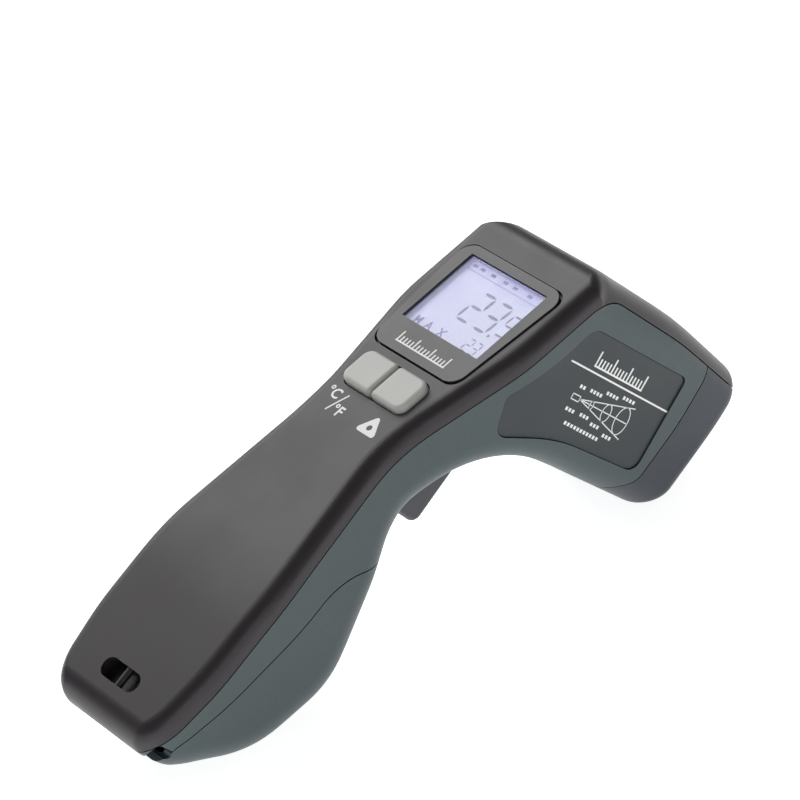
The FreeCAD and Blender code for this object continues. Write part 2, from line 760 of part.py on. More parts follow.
LOWER = make_lower()
part_feature("back_cover", make_cover())
part_feature("nose_bezel", make_nose(LOWER))
part_feature("battery_door", make_door(LOWER))
part_feature("left_body_shell", make_half(LOWER, 1))
part_feature("right_body_shell", make_half(LOWER, -1))
LABEL_SKIN = casing(size.label_sink).cut(LABEL_FLOOR).common(side_prism(label_corners()))
part_feature("left_label_plate", LABEL_SKIN.common(slab(-90, 120, 10, 40, -90, 60)))
part_feature("right_label_plate", LABEL_SKIN.common(slab(-90, 120, -40, -10, -90, 60)))

# ---------------------------------------------------------------- display

bezel = padded("bezel_plate", "XY_Plane", [
    ("-Sizes.bezel_top", "-Sizes.bezel_head_half"),
    ("Sizes.bezel_foot", "-Sizes.bezel_foot_half"),
    ("Sizes.bezel_foot", "Sizes.bezel_foot_half"),
    ("-Sizes.bezel_top", "Sizes.bezel_head_half"),
], "Sizes.bezel_thick", midplane=False)
rounded_edges(bezel, "Sizes.bezel_round", lambda edge: abs(edge.tangentAt(edge.FirstParameter).z) > 0.99)
window_cut = block("window_cut", "Sizes.window_long", "Sizes.window_wide", "Sizes.bezel_thick * 3",
                   Placement(Vector(-size.window_long / 2, -size.window_wide / 2, -size.bezel_thick), Rotation()))
keep(bored(bezel, "display_bezel_open", [window_cut]), "display_bezel",
     face_place(0, 0, -size.bezel_proud))

PANE_TOP = size.bezel_thick - size.bezel_proud - size.pane_thick


def centred_block(label, down, across, long, wide, thick, shallow):
    """A block on the display face; sizes are formulas, its upper face is at the depth shallow."""
    corner = face_place(down - value_of(long) / 2, across - value_of(wide) / 2, shallow)
    return keep(block(label, long, wide, thick, Placement()), label, corner)


LCD_TOP = size.bezel_thick - size.bezel_proud + 0.1
LIGHT_TOP = LCD_TOP + size.lcd_thick + 0.1
centred_block("display_window", 0, 0, "Sizes.window_long - 2 * Sizes.fit", "Sizes.window_wide - 2 * Sizes.fit",
              "Sizes.pane_thick", PANE_TOP)
LCD_LONG, LCD_WIDE = "Sizes.window_long + 2 * Sizes.lcd_margin", "Sizes.window_wide + 2 * Sizes.lcd_margin"
centred_block("lcd_glass", 0, 0, LCD_LONG, LCD_WIDE, "Sizes.lcd_thick", LCD_TOP)
centred_block("lcd_backlight", 0, 0, LCD_LONG, LCD_WIDE, "Sizes.light_thick", LIGHT_TOP)

# ---------------------------------------------------------------- boards and what they carry

board = padded("board_plate", "XY_Plane", [
    ("-Sizes.board_top", "-Sizes.board_wide / 2"),
    ("Sizes.board_step", "-Sizes.board_wide / 2"),
    ("Sizes.board_step", "-Sizes.board_waist / 2"),
    ("Sizes.board_foot", "-Sizes.board_waist / 2"),
    ("Sizes.board_foot", "Sizes.board_waist / 2"),
    ("Sizes.board_step", "Sizes.board_waist / 2"),
    ("Sizes.board_step", "Sizes.board_wide / 2"),
    ("-Sizes.board_top", "Sizes.board_wide / 2"),
], "Sizes.board_thick", midplane=False)
holes = [rod(f"board_hole_{i}", "Sizes.screw_r", "Sizes.board_thick * 3",
             Placement(Vector(down, across, -size.board_thick), Rotation()))
         for i, (down, across) in enumerate(BOARD_SCREWS)]
keep(bored(board, "main_board_drilled", holes), "main_board", face_place(0, 0, size.board_depth))

BOARD_UNDER = size.board_depth + size.board_thick
SWITCH_TOP = size.board_depth - size.switch_tall
KEY_OFFSET = (size.key_wide + size.key_split) / 2


def make_switch(label, down, across, depth, facing):
    """A switch housing whose plunger well opens out of the face (facing -1) or inwards (facing 1)."""
    body = block(f"{label}_block", "Sizes.switch_side", "Sizes.switch_side", "Sizes.switch_tall",
                 Placement(Vector(-size.switch_side / 2, -size.switch_side / 2, 0), Rotation()))
    well = rod(f"{label}_well", "Sizes.plunger_r + 0.1", "Sizes.switch_tall",
               Placement(Vector(0, 0, size.switch_tall - 2.0), Rotation()))
    turn_over = Rotation(Vector(1, 0, 0), 180) if facing < 0 else Rotation()
    place = face_place(down, across, depth).multiply(Placement(Vector(), turn_over))
    return keep(bored(body, f"{label}_housing", [well]), label, place)


for name, side in (("left", 1), ("right", -1)):
    make_switch(f"{name}_key_switch", size.key_place, side * KEY_OFFSET, size.board_depth, -1)
    keep(rod(f"{name}_plunger", "Sizes.plunger_r", "Sizes.plunger_tall + 0.9", Placement()),
         f"{name}_key_plunger", face_place(size.key_place, side * KEY_OFFSET, SWITCH_TOP - size.plunger_tall))

TRIGGER_SWITCH = 31.0
make_switch("trigger_switch", TRIGGER_SWITCH, 0, BOARD_UNDER, 1)
keep(rod("trigger_plunger_rod", "Sizes.plunger_r", "Sizes.plunger_tall + 0.6", Placement()),
     "trigger_switch_plunger", face_place(TRIGGER_SWITCH, 0, BOARD_UNDER + size.switch_tall - 0.6))

centred_block("microcontroller", 7.0, 7.0, "9", "9", "1.2", BOARD_UNDER)
keep(rod("buzzer_can", "5.5", "4.2", Placement()), "buzzer", face_place(-4.0, -8.0, BOARD_UNDER))

# ---------------------------------------------------------------- keys

for name, side in (("left", 1), ("right", -1)):
    key = padded(f"{name}_key_cap", "XY_Plane", [
        ("-Sizes.key_long / 2", "-Sizes.key_wide / 2"),
        ("Sizes.key_long / 2", "-Sizes.key_wide / 2"),
        ("Sizes.key_long / 2", "Sizes.key_wide / 2"),
        ("-Sizes.key_long / 2", "Sizes.key_wide / 2"),
    ], "Sizes.key_proud + Sizes.wall + 0.6", midplane=False)
    rounded_edges(key, "Sizes.key_round", lambda edge, out=side: abs(edge.tangentAt(edge.FirstParameter).z) > 0.99
                  and edge.CenterOfMass.y * out > 0)
    rounded_edges(key, "Sizes.key_round * 0.45", lambda edge, out=side: abs(edge.tangentAt(edge.FirstParameter).z) > 0.99
                  and edge.CenterOfMass.y * out < -size.key_wide / 2 + 0.01)
    rounded_edges(key, "Sizes.key_round * 0.4", lambda edge: edge.CenterOfMass.z < 0.01)
    flange = block(f"{name}_key_flange", "Sizes.key_long + 2", "Sizes.key_wide", "1",
                   Placement(Vector(-size.key_long / 2 - 1, -size.key_wide / 2, size.key_proud + size.wall + 0.1),
                             Rotation()))
    stem_tall = SWITCH_TOP - size.plunger_tall - size.wall - 1.0
    stem = rod(f"{name}_key_stem", "Sizes.plunger_r", str(stem_tall),
               Placement(Vector(0, 0, size.key_proud + size.wall + 1.0), Rotation()))
    keep(joined([key, flange, stem], f"{name}_key_whole"), f"{name}_key",
         face_place(size.key_place, side * KEY_OFFSET, -size.key_proud))

# ---------------------------------------------------------------- trigger

blade = padded("trigger_blade", "XZ_Plane", [
    ("Sizes.trigger_x + 4.3", "Sizes.trigger_z + 3.6"),
    ("Sizes.trigger_x + 7.0", "Sizes.trigger_z - 11.5"),
    ("Sizes.trigger_x + 4.2", "Sizes.trigger_foot"),
    ("Sizes.trigger_x - 7.0", "Sizes.trigger_foot + 1.4"),
    ("Sizes.trigger_x - 9.7", "Sizes.trigger_z - 21.0"),
    ("Sizes.trigger_x - 4.6", "Sizes.trigger_z - 2.0"),
    ("Sizes.trigger_x - 3.8", "Sizes.trigger_z + 3.6"),
], "2 * Sizes.trigger_half")
rounded_edges(blade, "2.4", lambda edge: abs(edge.tangentAt(edge.FirstParameter).y) > 0.99)
rounded_edges(blade, "1.2", lambda edge: edge.CenterOfMass.x > size.trigger_x + 2
              and abs(edge.CenterOfMass.y) > size.trigger_half - 0.01
              and edge.CenterOfMass.z < size.trigger_z)
pin_hole = rod("trigger_pin_hole", "Sizes.pin_r + Sizes.running", "4 * Sizes.trigger_half",
               across_place(size.trigger_x, size.trigger_z, -2 * size.trigger_half))
SPRING_FROM = 1.4
spring_well = rod("trigger_spring_well", "5.6", "Sizes.trigger_half",
                  across_place(size.trigger_x, size.trigger_z, SPRING_FROM))
keep(bored(blade, "trigger_bored", [pin_hole, spring_well]), "trigger")
keep(rod("trigger_pin_rod", "Sizes.pin_r", "18", Placement()), "trigger_pin",
     across_place(size.trigger_x, size.trigger_z, -9.0))


def make_spring():
    """Torsion spring round the trigger pin, one leg back to the casing and one down behind the blade."""
    wire, mean, pitch, turns = 0.3, 2.3, 0.75, 3.0
    coil = Part.makeHelix(pitch, pitch * turns, mean)
    section = Part.Wire(Part.makeCircle(wire, Vector(mean, 0, 0), ALONG_Y))
    spring = coil.makePipeShell([section], True, True)
    legs = [Part.makeCylinder(wire, 5.0, Vector(mean, 0, pitch * turns), Vector(0, 1, 0)),
            Part.makeCylinder(wire, 5.0, Vector(mean, 0, 0), Vector(0, -1, 0))]
    spring = spring.multiFuse(legs)
    place = across_place(size.trigger_x, size.trigger_z, SPRING_FROM + 0.6)
    return spring.transformed(place.toMatrix(), True)


part_feature("trigger_spring", make_spring())

# ---------------------------------------------------------------- battery

keep(rod("door_pin_rod", "Sizes.door_pin_r", "2 * Sizes.knuckle_half + 6.4", Placement()), "door_hinge_pin",
     across_place(size.door_x, PIN_Z, -size.knuckle_half - 3.2))

CELL = Placement(Vector(size.cell_x, 0, size.cell_z), Rotation(ALONG_Y, size.end_lean))
STUD = 6.35
cell_box = block("cell_box", "Sizes.cell_thick", "Sizes.cell_wide", "Sizes.cell_long",
                 Placement(Vector(-size.cell_thick / 2, -size.cell_wide / 2, -size.cell_long), Rotation()))
cell_can = doc.addObject("Part::Fillet", "cell_can")
cell_can.Base = cell_box
doc.recompute()
cell_can.Edges = [(i, 1.5, 1.5) for i, edge in enumerate(cell_box.Shape.Edges, 1)
                  if abs(edge.tangentAt(edge.FirstParameter).z) > 0.99]
small_stud = rod("small_stud", "2.9", "2.6", Placement(Vector(0, STUD, -0.5), Rotation()))
large_stud = rod("large_stud", "4.0", "2.6", Placement(Vector(0, -STUD, -0.5), Rotation()))
keep(joined([cell_can, small_stud, large_stud], "cell_whole"), "battery", CELL)

snap_box = block("snap_box", "12", "25", "4.2", Placement(Vector(-6, -12.5, 0.2), Rotation()))
snap_wells = [rod("snap_small_well", "3.0", "2.6", Placement(Vector(0, STUD, -0.3), Rotation())),
              rod("snap_large_well", "4.1", "2.6", Placement(Vector(0, -STUD, -0.3), Rotation()))]
keep(bored(snap_box, "snap_bored", snap_wells), "battery_snap", CELL)


def make_leads():
    """The two leads from the battery snap up to the main board."""
    leads = []
    for side in (-1, 1):
        leads.append(tube([
            CELL.multVec(Vector(-2.0, side * 3.0, 4.45)),
            CELL.multVec(Vector(-2.0, side * 3.0, 8.0)),
            Vector(size.neck_front - 13.0, side * 4.6, -46.5),
            Vector(size.neck_front - 10.6, side * 6.0, -41.0),
            on_face(size.board_foot - 2.5, side * 7.2, BOARD_UNDER + 3.6),
            on_face(size.board_foot - 2.5, side * 7.2, BOARD_UNDER + 0.05),
        ], 0.6))
    return Part.makeCompound(leads)


part_feature("battery_leads", make_leads())

# ---------------------------------------------------------------- sensor and laser

TUBE_LENGTH = "(Sizes.nose_reach - Sizes.wall - Sizes.tube_back - 2.6)"
TUBE_FRONT = size.nose_reach - size.wall - 2.6
keep(turned("sensor_tube", [
    ("Sizes.tube_r / 2", "0"),
    ("Sizes.tube_r", "0"),
    ("Sizes.tube_r", TUBE_LENGTH),
    ("Sizes.aperture_r", TUBE_LENGTH),
    ("Sizes.aperture_r", f"{TUBE_LENGTH} - 4"),
    ("Sizes.aperture_r - 0.8", f"{TUBE_LENGTH} - 4"),
    ("Sizes.tube_r / 2 + 0.6", "3"),
    ("Sizes.tube_r / 2", "3"),
]), "sensor_tube", nose_place(size.tube_back, size.tube_z))

keep(turned("ir_lens", [
    ("0", "0"),
    ("Sizes.aperture_r - Sizes.running", "0"),
    ("Sizes.aperture_r - Sizes.running", "0.9"),
    ("Sizes.aperture_r / 2", "1.3"),
    ("0", "1.5"),
]), "ir_lens", nose_place(TUBE_FRONT - 4.0, size.tube_z))
keep(turned("lens_ring", [
    ("Sizes.aperture_r - 1.1", "0"),
    ("Sizes.aperture_r - Sizes.running", "0"),
    ("Sizes.aperture_r - Sizes.running", "1.8"),
    ("Sizes.aperture_r - 0.6", "1.8"),
]), "lens_ring", nose_place(TUBE_FRONT - 2.9, size.tube_z))

SENSOR_BOARD = size.tube_back - 3.0
PIN_CIRCLE = 2.54
pins = [(PIN_CIRCLE * math.cos(math.radians(angle)), PIN_CIRCLE * math.sin(math.radians(angle)))
        for angle in (45, 135, 225, 315)]
sensor_box = block("sensor_board_box", "24", "28", "Sizes.board_thick",
                   Placement(Vector(-12, -14, 0), Rotation()))
sensor_holes = [rod(f"sensor_hole_{i}", "0.4", "6", Placement(Vector(a, b, -2), Rotation()))
                for i, (a, b) in enumerate(pins)]
keep(bored(sensor_box, "sensor_board_drilled", sensor_holes), "sensor_board",
     nose_place(SENSOR_BOARD, size.tube_z))
can = turned("thermopile_can", [
    ("0", "0"),
    ("4.6", "0"),
    ("4.6", "0.6"),
    ("4.1", "0.6"),
    ("4.1", "3.8"),
    ("0", "3.8"),
])
pin_rods = [rod(f"thermopile_pin_{i}", "0.23", "3.5", Placement(Vector(a, b, -3.0), Rotation()))
            for i, (a, b) in enumerate(pins)]
keep(joined([can] + pin_rods, "thermopile_whole"), "thermopile",
     nose_place(SENSOR_BOARD + size.board_thick, size.tube_z))

LASER_FRONT = size.nose_reach - size.wall - 3.9
keep(turned("laser_module", [
    ("0", "0"),
    ("Sizes.laser_r", "0"),
    ("Sizes.laser_r", "Sizes.laser_long"),
    ("Sizes.laser_r / 3", "Sizes.laser_long"),
    ("Sizes.laser_r / 3", "Sizes.laser_long - 3"),
    ("0", "Sizes.laser_long - 3"),
]), "laser_module", nose_place(LASER_FRONT - size.laser_long, size.laser_z))
keep(turned("laser_window", [
    ("0", "0"),
    ("Sizes.beam_r + 0.6", "0"),
    ("Sizes.beam_r + 0.6", "0.8"),
    ("0", "0.8"),
]), "laser_window", nose_place(LASER_FRONT + 1.1, size.laser_z))


def make_laser_leads():
    """The two thin leads from the laser module back to the sensor board."""
    leads = []
    for side in (-1, 1):
        back = Vector(LASER_FRONT - size.laser_long - 0.05, side * 1.2, size.laser_z)
        leads.append(tube([
            back,
            back + Vector(-4.5, 0, 0),
            Vector(SENSOR_BOARD + size.board_thick + 4.5, side * 6.0, size.tube_z - 10.8),
            Vector(SENSOR_BOARD + size.board_thick + 0.05, side * 6.0, size.tube_z - 10.8),
        ], 0.4))
    return Part.makeCompound(leads)


part_feature("laser_leads", make_laser_leads())

# ---------------------------------------------------------------- fasteners and the lanyard bar


def make_screws():
    """The casing screws, heads in the left shell's wells."""
    solids = []
    for x, z in SCREWS:
        shank = cylinder_y(x, z, size.screw_r, SCREW_SEAT - size.screw_long, SCREW_SEAT + 0.2)
        head = cylinder_y(x, z, size.screw_head_r, SCREW_SEAT, SCREW_SEAT + 1.6)
        slots = [slab(x - 1.3, x + 1.3, SCREW_SEAT + 0.9, SCREW_SEAT + 2, z - 0.3, z + 0.3),
                 slab(x - 0.3, x + 0.3, SCREW_SEAT + 0.9, SCREW_SEAT + 2, z - 1.3, z + 1.3)]
        solids.append(shank.fuse(head).cut(slots[0]).cut(slots[1]))
    return Part.makeCompound(solids)


def make_board_screws():
    """The small screws that hold the main board to the back cover."""
    solids = []
    for down, across in BOARD_SCREWS:
        shank = face_rod(down, across, 0.83, BOARD_UNDER - 5.0, BOARD_UNDER + 0.2)
        head = face_rod(down, across, 1.7, BOARD_UNDER, BOARD_UNDER + 1.1)
        solids.append(shank.fuse(head))
    return Part.makeCompound(solids)


part_feature("casing_screws", make_screws())
part_feature("board_screws", make_board_screws())
keep(rod("lanyard_rod", str(BAR_R), "Sizes.slot_tall + 1.5", Placement()), "lanyard_bar",
     SLOT_PLACE.multiply(Placement(Vector(-size.slot_tall / 2 - 0.75, 0, BAR_DEPTH), Rotation(ALONG_Y, 90))))

# ---------------------------------------------------------------- check and write

doc.recompute()
faults = [item.Label for item in doc.Objects if "Invalid" in item.State or "Error" in item.State]
for piece in PIECES:
    if piece.Shape.isNull() or not piece.Shape.isValid() or not piece.Shape.Solids:
        faults.append(piece.Label)
if faults:
    raise RuntimeError(f"failed sub-parts: {faults}")
os.makedirs("parts", exist_ok=True)
for piece in PIECES:
    piece.Shape.exportStep(f"parts/{piece.Label}.step")
    print(f"{piece.Label}: {len(piece.Shape.Solids)} solids, {piece.Shape.Volume:.0f} mm3")
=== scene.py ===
"""Looks of a hand-held infrared thermometer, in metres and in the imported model's own frame."""

import json
import logging
import math
from dataclasses import dataclass, field
from enum import Enum
from typing import Sequence

import bmesh
import bpy
from mathutils import Matrix, Vector
from mathutils.bvhtree import BVHTree


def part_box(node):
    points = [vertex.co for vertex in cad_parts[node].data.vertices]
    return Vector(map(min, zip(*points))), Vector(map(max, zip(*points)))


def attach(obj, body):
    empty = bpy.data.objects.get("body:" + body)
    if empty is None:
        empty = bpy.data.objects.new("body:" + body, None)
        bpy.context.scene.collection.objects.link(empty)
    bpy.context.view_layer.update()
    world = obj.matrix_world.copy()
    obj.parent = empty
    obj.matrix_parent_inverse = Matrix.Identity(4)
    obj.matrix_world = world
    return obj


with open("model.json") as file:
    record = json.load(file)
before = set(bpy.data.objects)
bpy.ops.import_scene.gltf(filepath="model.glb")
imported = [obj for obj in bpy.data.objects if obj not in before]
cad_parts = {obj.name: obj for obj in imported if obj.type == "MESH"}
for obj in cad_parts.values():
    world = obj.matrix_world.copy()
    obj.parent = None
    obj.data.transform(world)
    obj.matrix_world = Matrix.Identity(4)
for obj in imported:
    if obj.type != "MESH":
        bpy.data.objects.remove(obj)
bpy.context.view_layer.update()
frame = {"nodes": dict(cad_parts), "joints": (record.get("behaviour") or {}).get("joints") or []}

MM = 0.001
LOG = logging.getLogger("infrared_thermometer")
Point = tuple[float, float]


# ---------------------------------------------------------------- working planes

@dataclass(frozen=True)
class Plane:
    """A flat working frame on the object: where it starts, which way is right and which way is up."""

    origin: Vector
    right: Vector
    up: Vector

    @property
    def out(self) -> Vector:
        """The direction off the surface."""
        return self.right.cross(self.up)

    def at(self, across: float, above: float, off: float = 0.0) -> Vector:
        """A point of the plane.

        Args:
            across: millimetres to the right.
            above: millimetres up.
            off: millimetres off the surface.

        Returns:
            The point in the model's frame, in metres.
        """
        return self.origin + (self.right * across + self.up * above + self.out * off) * MM

    def matrix(self) -> Matrix:
        """The plane's frame as a matrix that takes millimetres to the model's metres."""
        rows = Matrix((self.right * MM, self.up * MM, self.out * MM)).transposed().to_4x4()
        rows.translation = self.origin
        return rows


def centre(node: str) -> Vector:
    """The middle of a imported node's box."""
    low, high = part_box(node)
    return (low + high) / 2


def key_direction() -> Vector:
    """The way a key travels, which is straight into the display face."""
    travel = next(joint for joint in frame["joints"] if joint["name"] == "right_key_press")
    return Vector(travel["axis"]).normalized()


DISPLAY_LEAN = math.radians(26.8)
INWARD = key_direction()
FORWARD = Matrix.Rotation(-DISPLAY_LEAN, 3, "Y") @ INWARD
UPWARD = Vector((0, -1, 0)).cross(FORWARD)
FACE = Plane(centre("display_window"), Vector((0, -1, 0)), Vector((0, -1, 0)).cross(INWARD))


# ---------------------------------------------------------------- shader building

class Socket(Enum):
    """The kinds of value that a node group passes."""

    NUMBER = "NodeSocketFloat"
    WHOLE = "NodeSocketInt"
    VECTOR = "NodeSocketVector"
    SHAPE = "NodeSocketGeometry"


def new_group(kind: str, name: str, takes: Sequence[tuple[str, Socket, object]],
              gives: Sequence[tuple[str, Socket]]) -> bpy.types.NodeTree:
    """Makes an empty node group with named sockets.

    Args:
        kind: the tree's type, for shaders or geometry.
        name: the group's name.
        takes: name, kind and default value of each input; a shape has no default.
        gives: name and kind of each output.

    Returns:
        The tree, with its two end nodes in place.
    """
    tree = bpy.data.node_groups.new(name, kind)
    for title, socket, value in takes:
        made = tree.interface.new_socket(title, in_out="INPUT", socket_type=socket.value)
        if value is not None:
            made.default_value = value
    for title, socket in gives:
        tree.interface.new_socket(title, in_out="OUTPUT", socket_type=socket.value)
    tree.nodes.new("NodeGroupInput").name = "takes"
    tree.nodes.new("NodeGroupOutput").name = "gives"
    return tree


def link(tree: bpy.types.NodeTree, source: bpy.types.NodeSocket, target: bpy.types.NodeSocket) -> None:
    """Joins one socket to another."""
    tree.links.new(source, target)


def add(tree: bpy.types.NodeTree, kind: str, settings: dict | None = None,
        inputs: dict | None = None) -> bpy.types.Node:
    """Adds a node.

    Args:
        tree: the tree to add it to.
        kind: the node's type.
        settings: the node's own properties.
        inputs: socket name or number to a value, or to the socket that feeds it.

    Returns:
        The node.
    """
    node = tree.nodes.new(kind)
    for name, value in (settings or {}).items():
        setattr(node, name, value)
    for name, value in (inputs or {}).items():
        if isinstance(value, bpy.types.NodeSocket):
            link(tree, value, node.inputs[name])
        else:
            node.inputs[name].default_value = value
    return node


def maths(tree: bpy.types.NodeTree, operation: str, first: object, second: object = 0.0,
          clamp: bool = False) -> bpy.types.NodeSocket:
    """Adds a Math node of two inputs and returns its output."""
    node = add(tree, "ShaderNodeMath", {"operation": operation, "use_clamp": clamp}, {0: first, 1: second})
    return node.outputs[0]


def spread(tree: bpy.types.NodeTree, value: object, low: float, high: float, start: float,
           end: float) -> bpy.types.NodeSocket:
    """Adds a Map Range node that takes low..high to start..end and returns its output."""
    node = add(tree, "ShaderNodeMapRange", {}, {"Value": value, "From Min": low, "From Max": high,
                                                "To Min": start, "To Max": end})
    return node.outputs["Result"]


def noise(tree: bpy.types.NodeTree, where: object, scale: object, detail: float = 2.0,
          rough: float = 0.5) -> bpy.types.NodeSocket:
    """Adds a Noise Texture and returns its value."""
    node = add(tree, "ShaderNodeTexNoise", {}, {"Vector": where, "Scale": scale, "Detail": detail,
                                                "Roughness": rough})
    return node.outputs["Fac"]


def mould_grain_group() -> bpy.types.NodeTree:
    """The fine spark-eroded texture of a moulding: a height for bump and a mask of its hollows."""
    tree = new_group("ShaderNodeTree", "mould_grain",
                     [("Vector", Socket.VECTOR, (0, 0, 0)), ("Scale", Socket.NUMBER, 3000.0),
                      ("Coarse", Socket.NUMBER, 0.4)],
                     [("Height", Socket.NUMBER), ("Hollow", Socket.NUMBER)])
    takes, gives = tree.nodes["takes"], tree.nodes["gives"]
    fine = noise(tree, takes.outputs["Vector"], takes.outputs["Scale"], 3.0, 0.55)
    wide = maths(tree, "MULTIPLY", takes.outputs["Scale"], 0.3)
    cells = add(tree, "ShaderNodeTexVoronoi", {"feature": "SMOOTH_F1"},
                {"Vector": takes.outputs["Vector"], "Scale": wide, "Smoothness": 0.6})
    part = maths(tree, "MULTIPLY", cells.outputs["Distance"], takes.outputs["Coarse"])
    height = maths(tree, "ADD", fine, part)
    link(tree, height, gives.inputs["Height"])
    link(tree, spread(tree, height, 0.35, 0.85, 1.0, 0.0), gives.inputs["Hollow"])
    return tree


def handling_group() -> bpy.types.NodeTree:
    """Uneven gloss left by handling: broad rubbed areas broken by thin smears, as one mask."""
    tree = new_group("ShaderNodeTree", "handling",
                     [("Vector", Socket.VECTOR, (0, 0, 0)), ("Scale", Socket.NUMBER, 60.0),
                      ("Smear", Socket.NUMBER, 0.4)],
                     [("Mask", Socket.NUMBER)])
    takes, gives = tree.nodes["takes"], tree.nodes["gives"]
    broad = spread(tree, noise(tree, takes.outputs["Vector"], takes.outputs["Scale"], 4.0, 0.6),
                   0.38, 0.68, 0.0, 1.0)
    drawn = add(tree, "ShaderNodeMapping", {}, {"Vector": takes.outputs["Vector"], "Scale": (1.0, 6.0, 6.0)})
    close = maths(tree, "MULTIPLY", takes.outputs["Scale"], 2.5)
    smear = noise(tree, drawn.outputs["Vector"], close, 5.0, 0.7)
    smear = maths(tree, "MULTIPLY", spread(tree, smear, 0.5, 0.8, 0.0, 1.0), takes.outputs["Smear"])
    both = maths(tree, "ADD", maths(tree, "MULTIPLY", broad, 0.7), smear, clamp=True)
    link(tree, both, gives.inputs["Mask"])
    return tree


def edge_rub_group() -> bpy.types.NodeTree:
    """A mask of the outer edges, where a moulding is polished by use."""
    tree = new_group("ShaderNodeTree", "edge_rub",
                     [("Radius", Socket.NUMBER, 0.0005), ("Breakup", Socket.NUMBER, 0.5)],
                     [("Mask", Socket.NUMBER)])
    takes, gives = tree.nodes["takes"], tree.nodes["gives"]
    place = add(tree, "ShaderNodeTexCoord").outputs["Object"]
    rounded = add(tree, "ShaderNodeBevel", {"samples": 4}, {"Radius": takes.outputs["Radius"]})
    flat = add(tree, "ShaderNodeNewGeometry").outputs["Normal"]
    turn = add(tree, "ShaderNodeVectorMath", {"operation": "DOT_PRODUCT"}, {0: rounded.outputs[0], 1: flat})
    edge = spread(tree, turn.outputs["Value"], 0.998, 0.93, 0.0, 1.0)
    patch = spread(tree, noise(tree, place, 400.0, 3.0), 0.35, 0.65, 0.0, 1.0)
    kept = maths(tree, "SUBTRACT", 1.0, maths(tree, "MULTIPLY", patch, takes.outputs["Breakup"]))
    link(tree, maths(tree, "MULTIPLY", edge, kept, clamp=True), gives.inputs["Mask"])
    return tree


@dataclass
class Effects:
    """The shader node groups that several finishes share, each built once."""

    grain: bpy.types.NodeTree = field(default_factory=mould_grain_group)
    handling: bpy.types.NodeTree = field(default_factory=handling_group)
    edge: bpy.types.NodeTree = field(default_factory=edge_rub_group)

    def place(self, tree: bpy.types.NodeTree, group: bpy.types.NodeTree, inputs: dict) -> bpy.types.Node:
        """Adds one of the groups to a material's tree.

        Args:
            tree: the material's tree.
            group: the group to place.
            inputs: the values of its inputs.

        Returns:
            The group's node.
        """
        return add(tree, "ShaderNodeGroup", {"node_tree": group}, inputs)


def shade(colour: Sequence[float], factor: float) -> tuple[float, float, float, float]:
    """A colour made lighter or darker, with full alpha."""
    return (colour[0] * factor, colour[1] * factor, colour[2] * factor, 1.0)


@dataclass(frozen=True)
class Finish:
    """A material that is built once and then given to any number of pieces."""

    name: str
    colour: tuple[float, float, float]

    def start(self) -> tuple[bpy.types.Material, bpy.types.NodeTree, bpy.types.Node, bpy.types.NodeSocket]:
        """Makes the material with a bare Principled shader.

        Returns:
            The material, its tree, the shader and the object's own coordinates.
        """
        material = bpy.data.materials.new(self.name)
        material.use_nodes = True
        tree = material.node_tree
        shader = next(node for node in tree.nodes if node.type == "BSDF_PRINCIPLED")
        place = add(tree, "ShaderNodeTexCoord").outputs["Object"]
        return material, tree, shader, place

    def mix(self, tree: bpy.types.NodeTree, mask: object, first: object,
            second: object) -> bpy.types.NodeSocket:
        """Adds a colour mix and returns its output."""
        node = add(tree, "ShaderNodeMix", {"data_type": "RGBA"}, {0: mask, 6: first, 7: second})
        return node.outputs[2]

    def bump(self, tree: bpy.types.NodeTree, shader: bpy.types.Node, height: bpy.types.NodeSocket,
             strength: float, depth: float) -> None:
        """Feeds the shader's normal from a height."""
        node = add(tree, "ShaderNodeBump", {}, {"Height": height, "Strength": strength, "Distance": depth})
        link(tree, node.outputs["Normal"], shader.inputs["Normal"])


@dataclass(frozen=True)
class MouldedPlastic(Finish):
    """Satin or matt moulded plastic with a fine texture, handling gloss and polished edges."""

    roughness: float = 0.42
    grain: float = 2600.0
    depth: float = 0.00003
    coarse: float = 0.4
    worn: float = 0.10
    edge: float = 0.35
    edge_radius: float = 0.0006
    specular: float = 0.5
    speckle: float = 0.12

    def build(self, effects: Effects) -> bpy.types.Material:
        """Builds the material.

        Args:
            effects: the shared node groups.

        Returns:
            The material.
        """
        material, tree, shader, place = self.start()
        grain = effects.place(tree, effects.grain,
                              {"Vector": place, "Scale": self.grain, "Coarse": self.coarse})
        used = effects.place(tree, effects.handling, {"Vector": place, "Scale": 55.0, "Smear": 0.4})
        edge = effects.place(tree, effects.edge, {"Radius": self.edge_radius, "Breakup": 0.5})
        base = self.mix(tree, maths(tree, "MULTIPLY", grain.outputs["Hollow"], self.speckle * 3),
                        shade(self.colour, 1.0 + self.speckle), shade(self.colour, 1.0 - self.speckle * 2))
        tone = spread(tree, noise(tree, place, 25.0, 3.0), 0.3, 0.7, 0.0, 1.0)
        base = self.mix(tree, maths(tree, "MULTIPLY", tone, 0.35), base, shade(self.colour, 1.18))
        base = self.mix(tree, maths(tree, "MULTIPLY", edge.outputs["Mask"], self.edge), base,
                        shade(self.colour, 1.8))
        link(tree, base, shader.inputs["Base Color"])
        gloss = maths(tree, "MULTIPLY", used.outputs["Mask"], -self.worn)
        rubbed = maths(tree, "MULTIPLY", edge.outputs["Mask"], -self.worn)
        rough = maths(tree, "ADD", maths(tree, "ADD", gloss, rubbed), self.roughness)
        link(tree, rough, shader.inputs["Roughness"])
        shader.inputs["Specular IOR Level"].default_value = self.specular
        self.bump(tree, shader, grain.outputs["Height"], 0.5, self.depth)
        return material


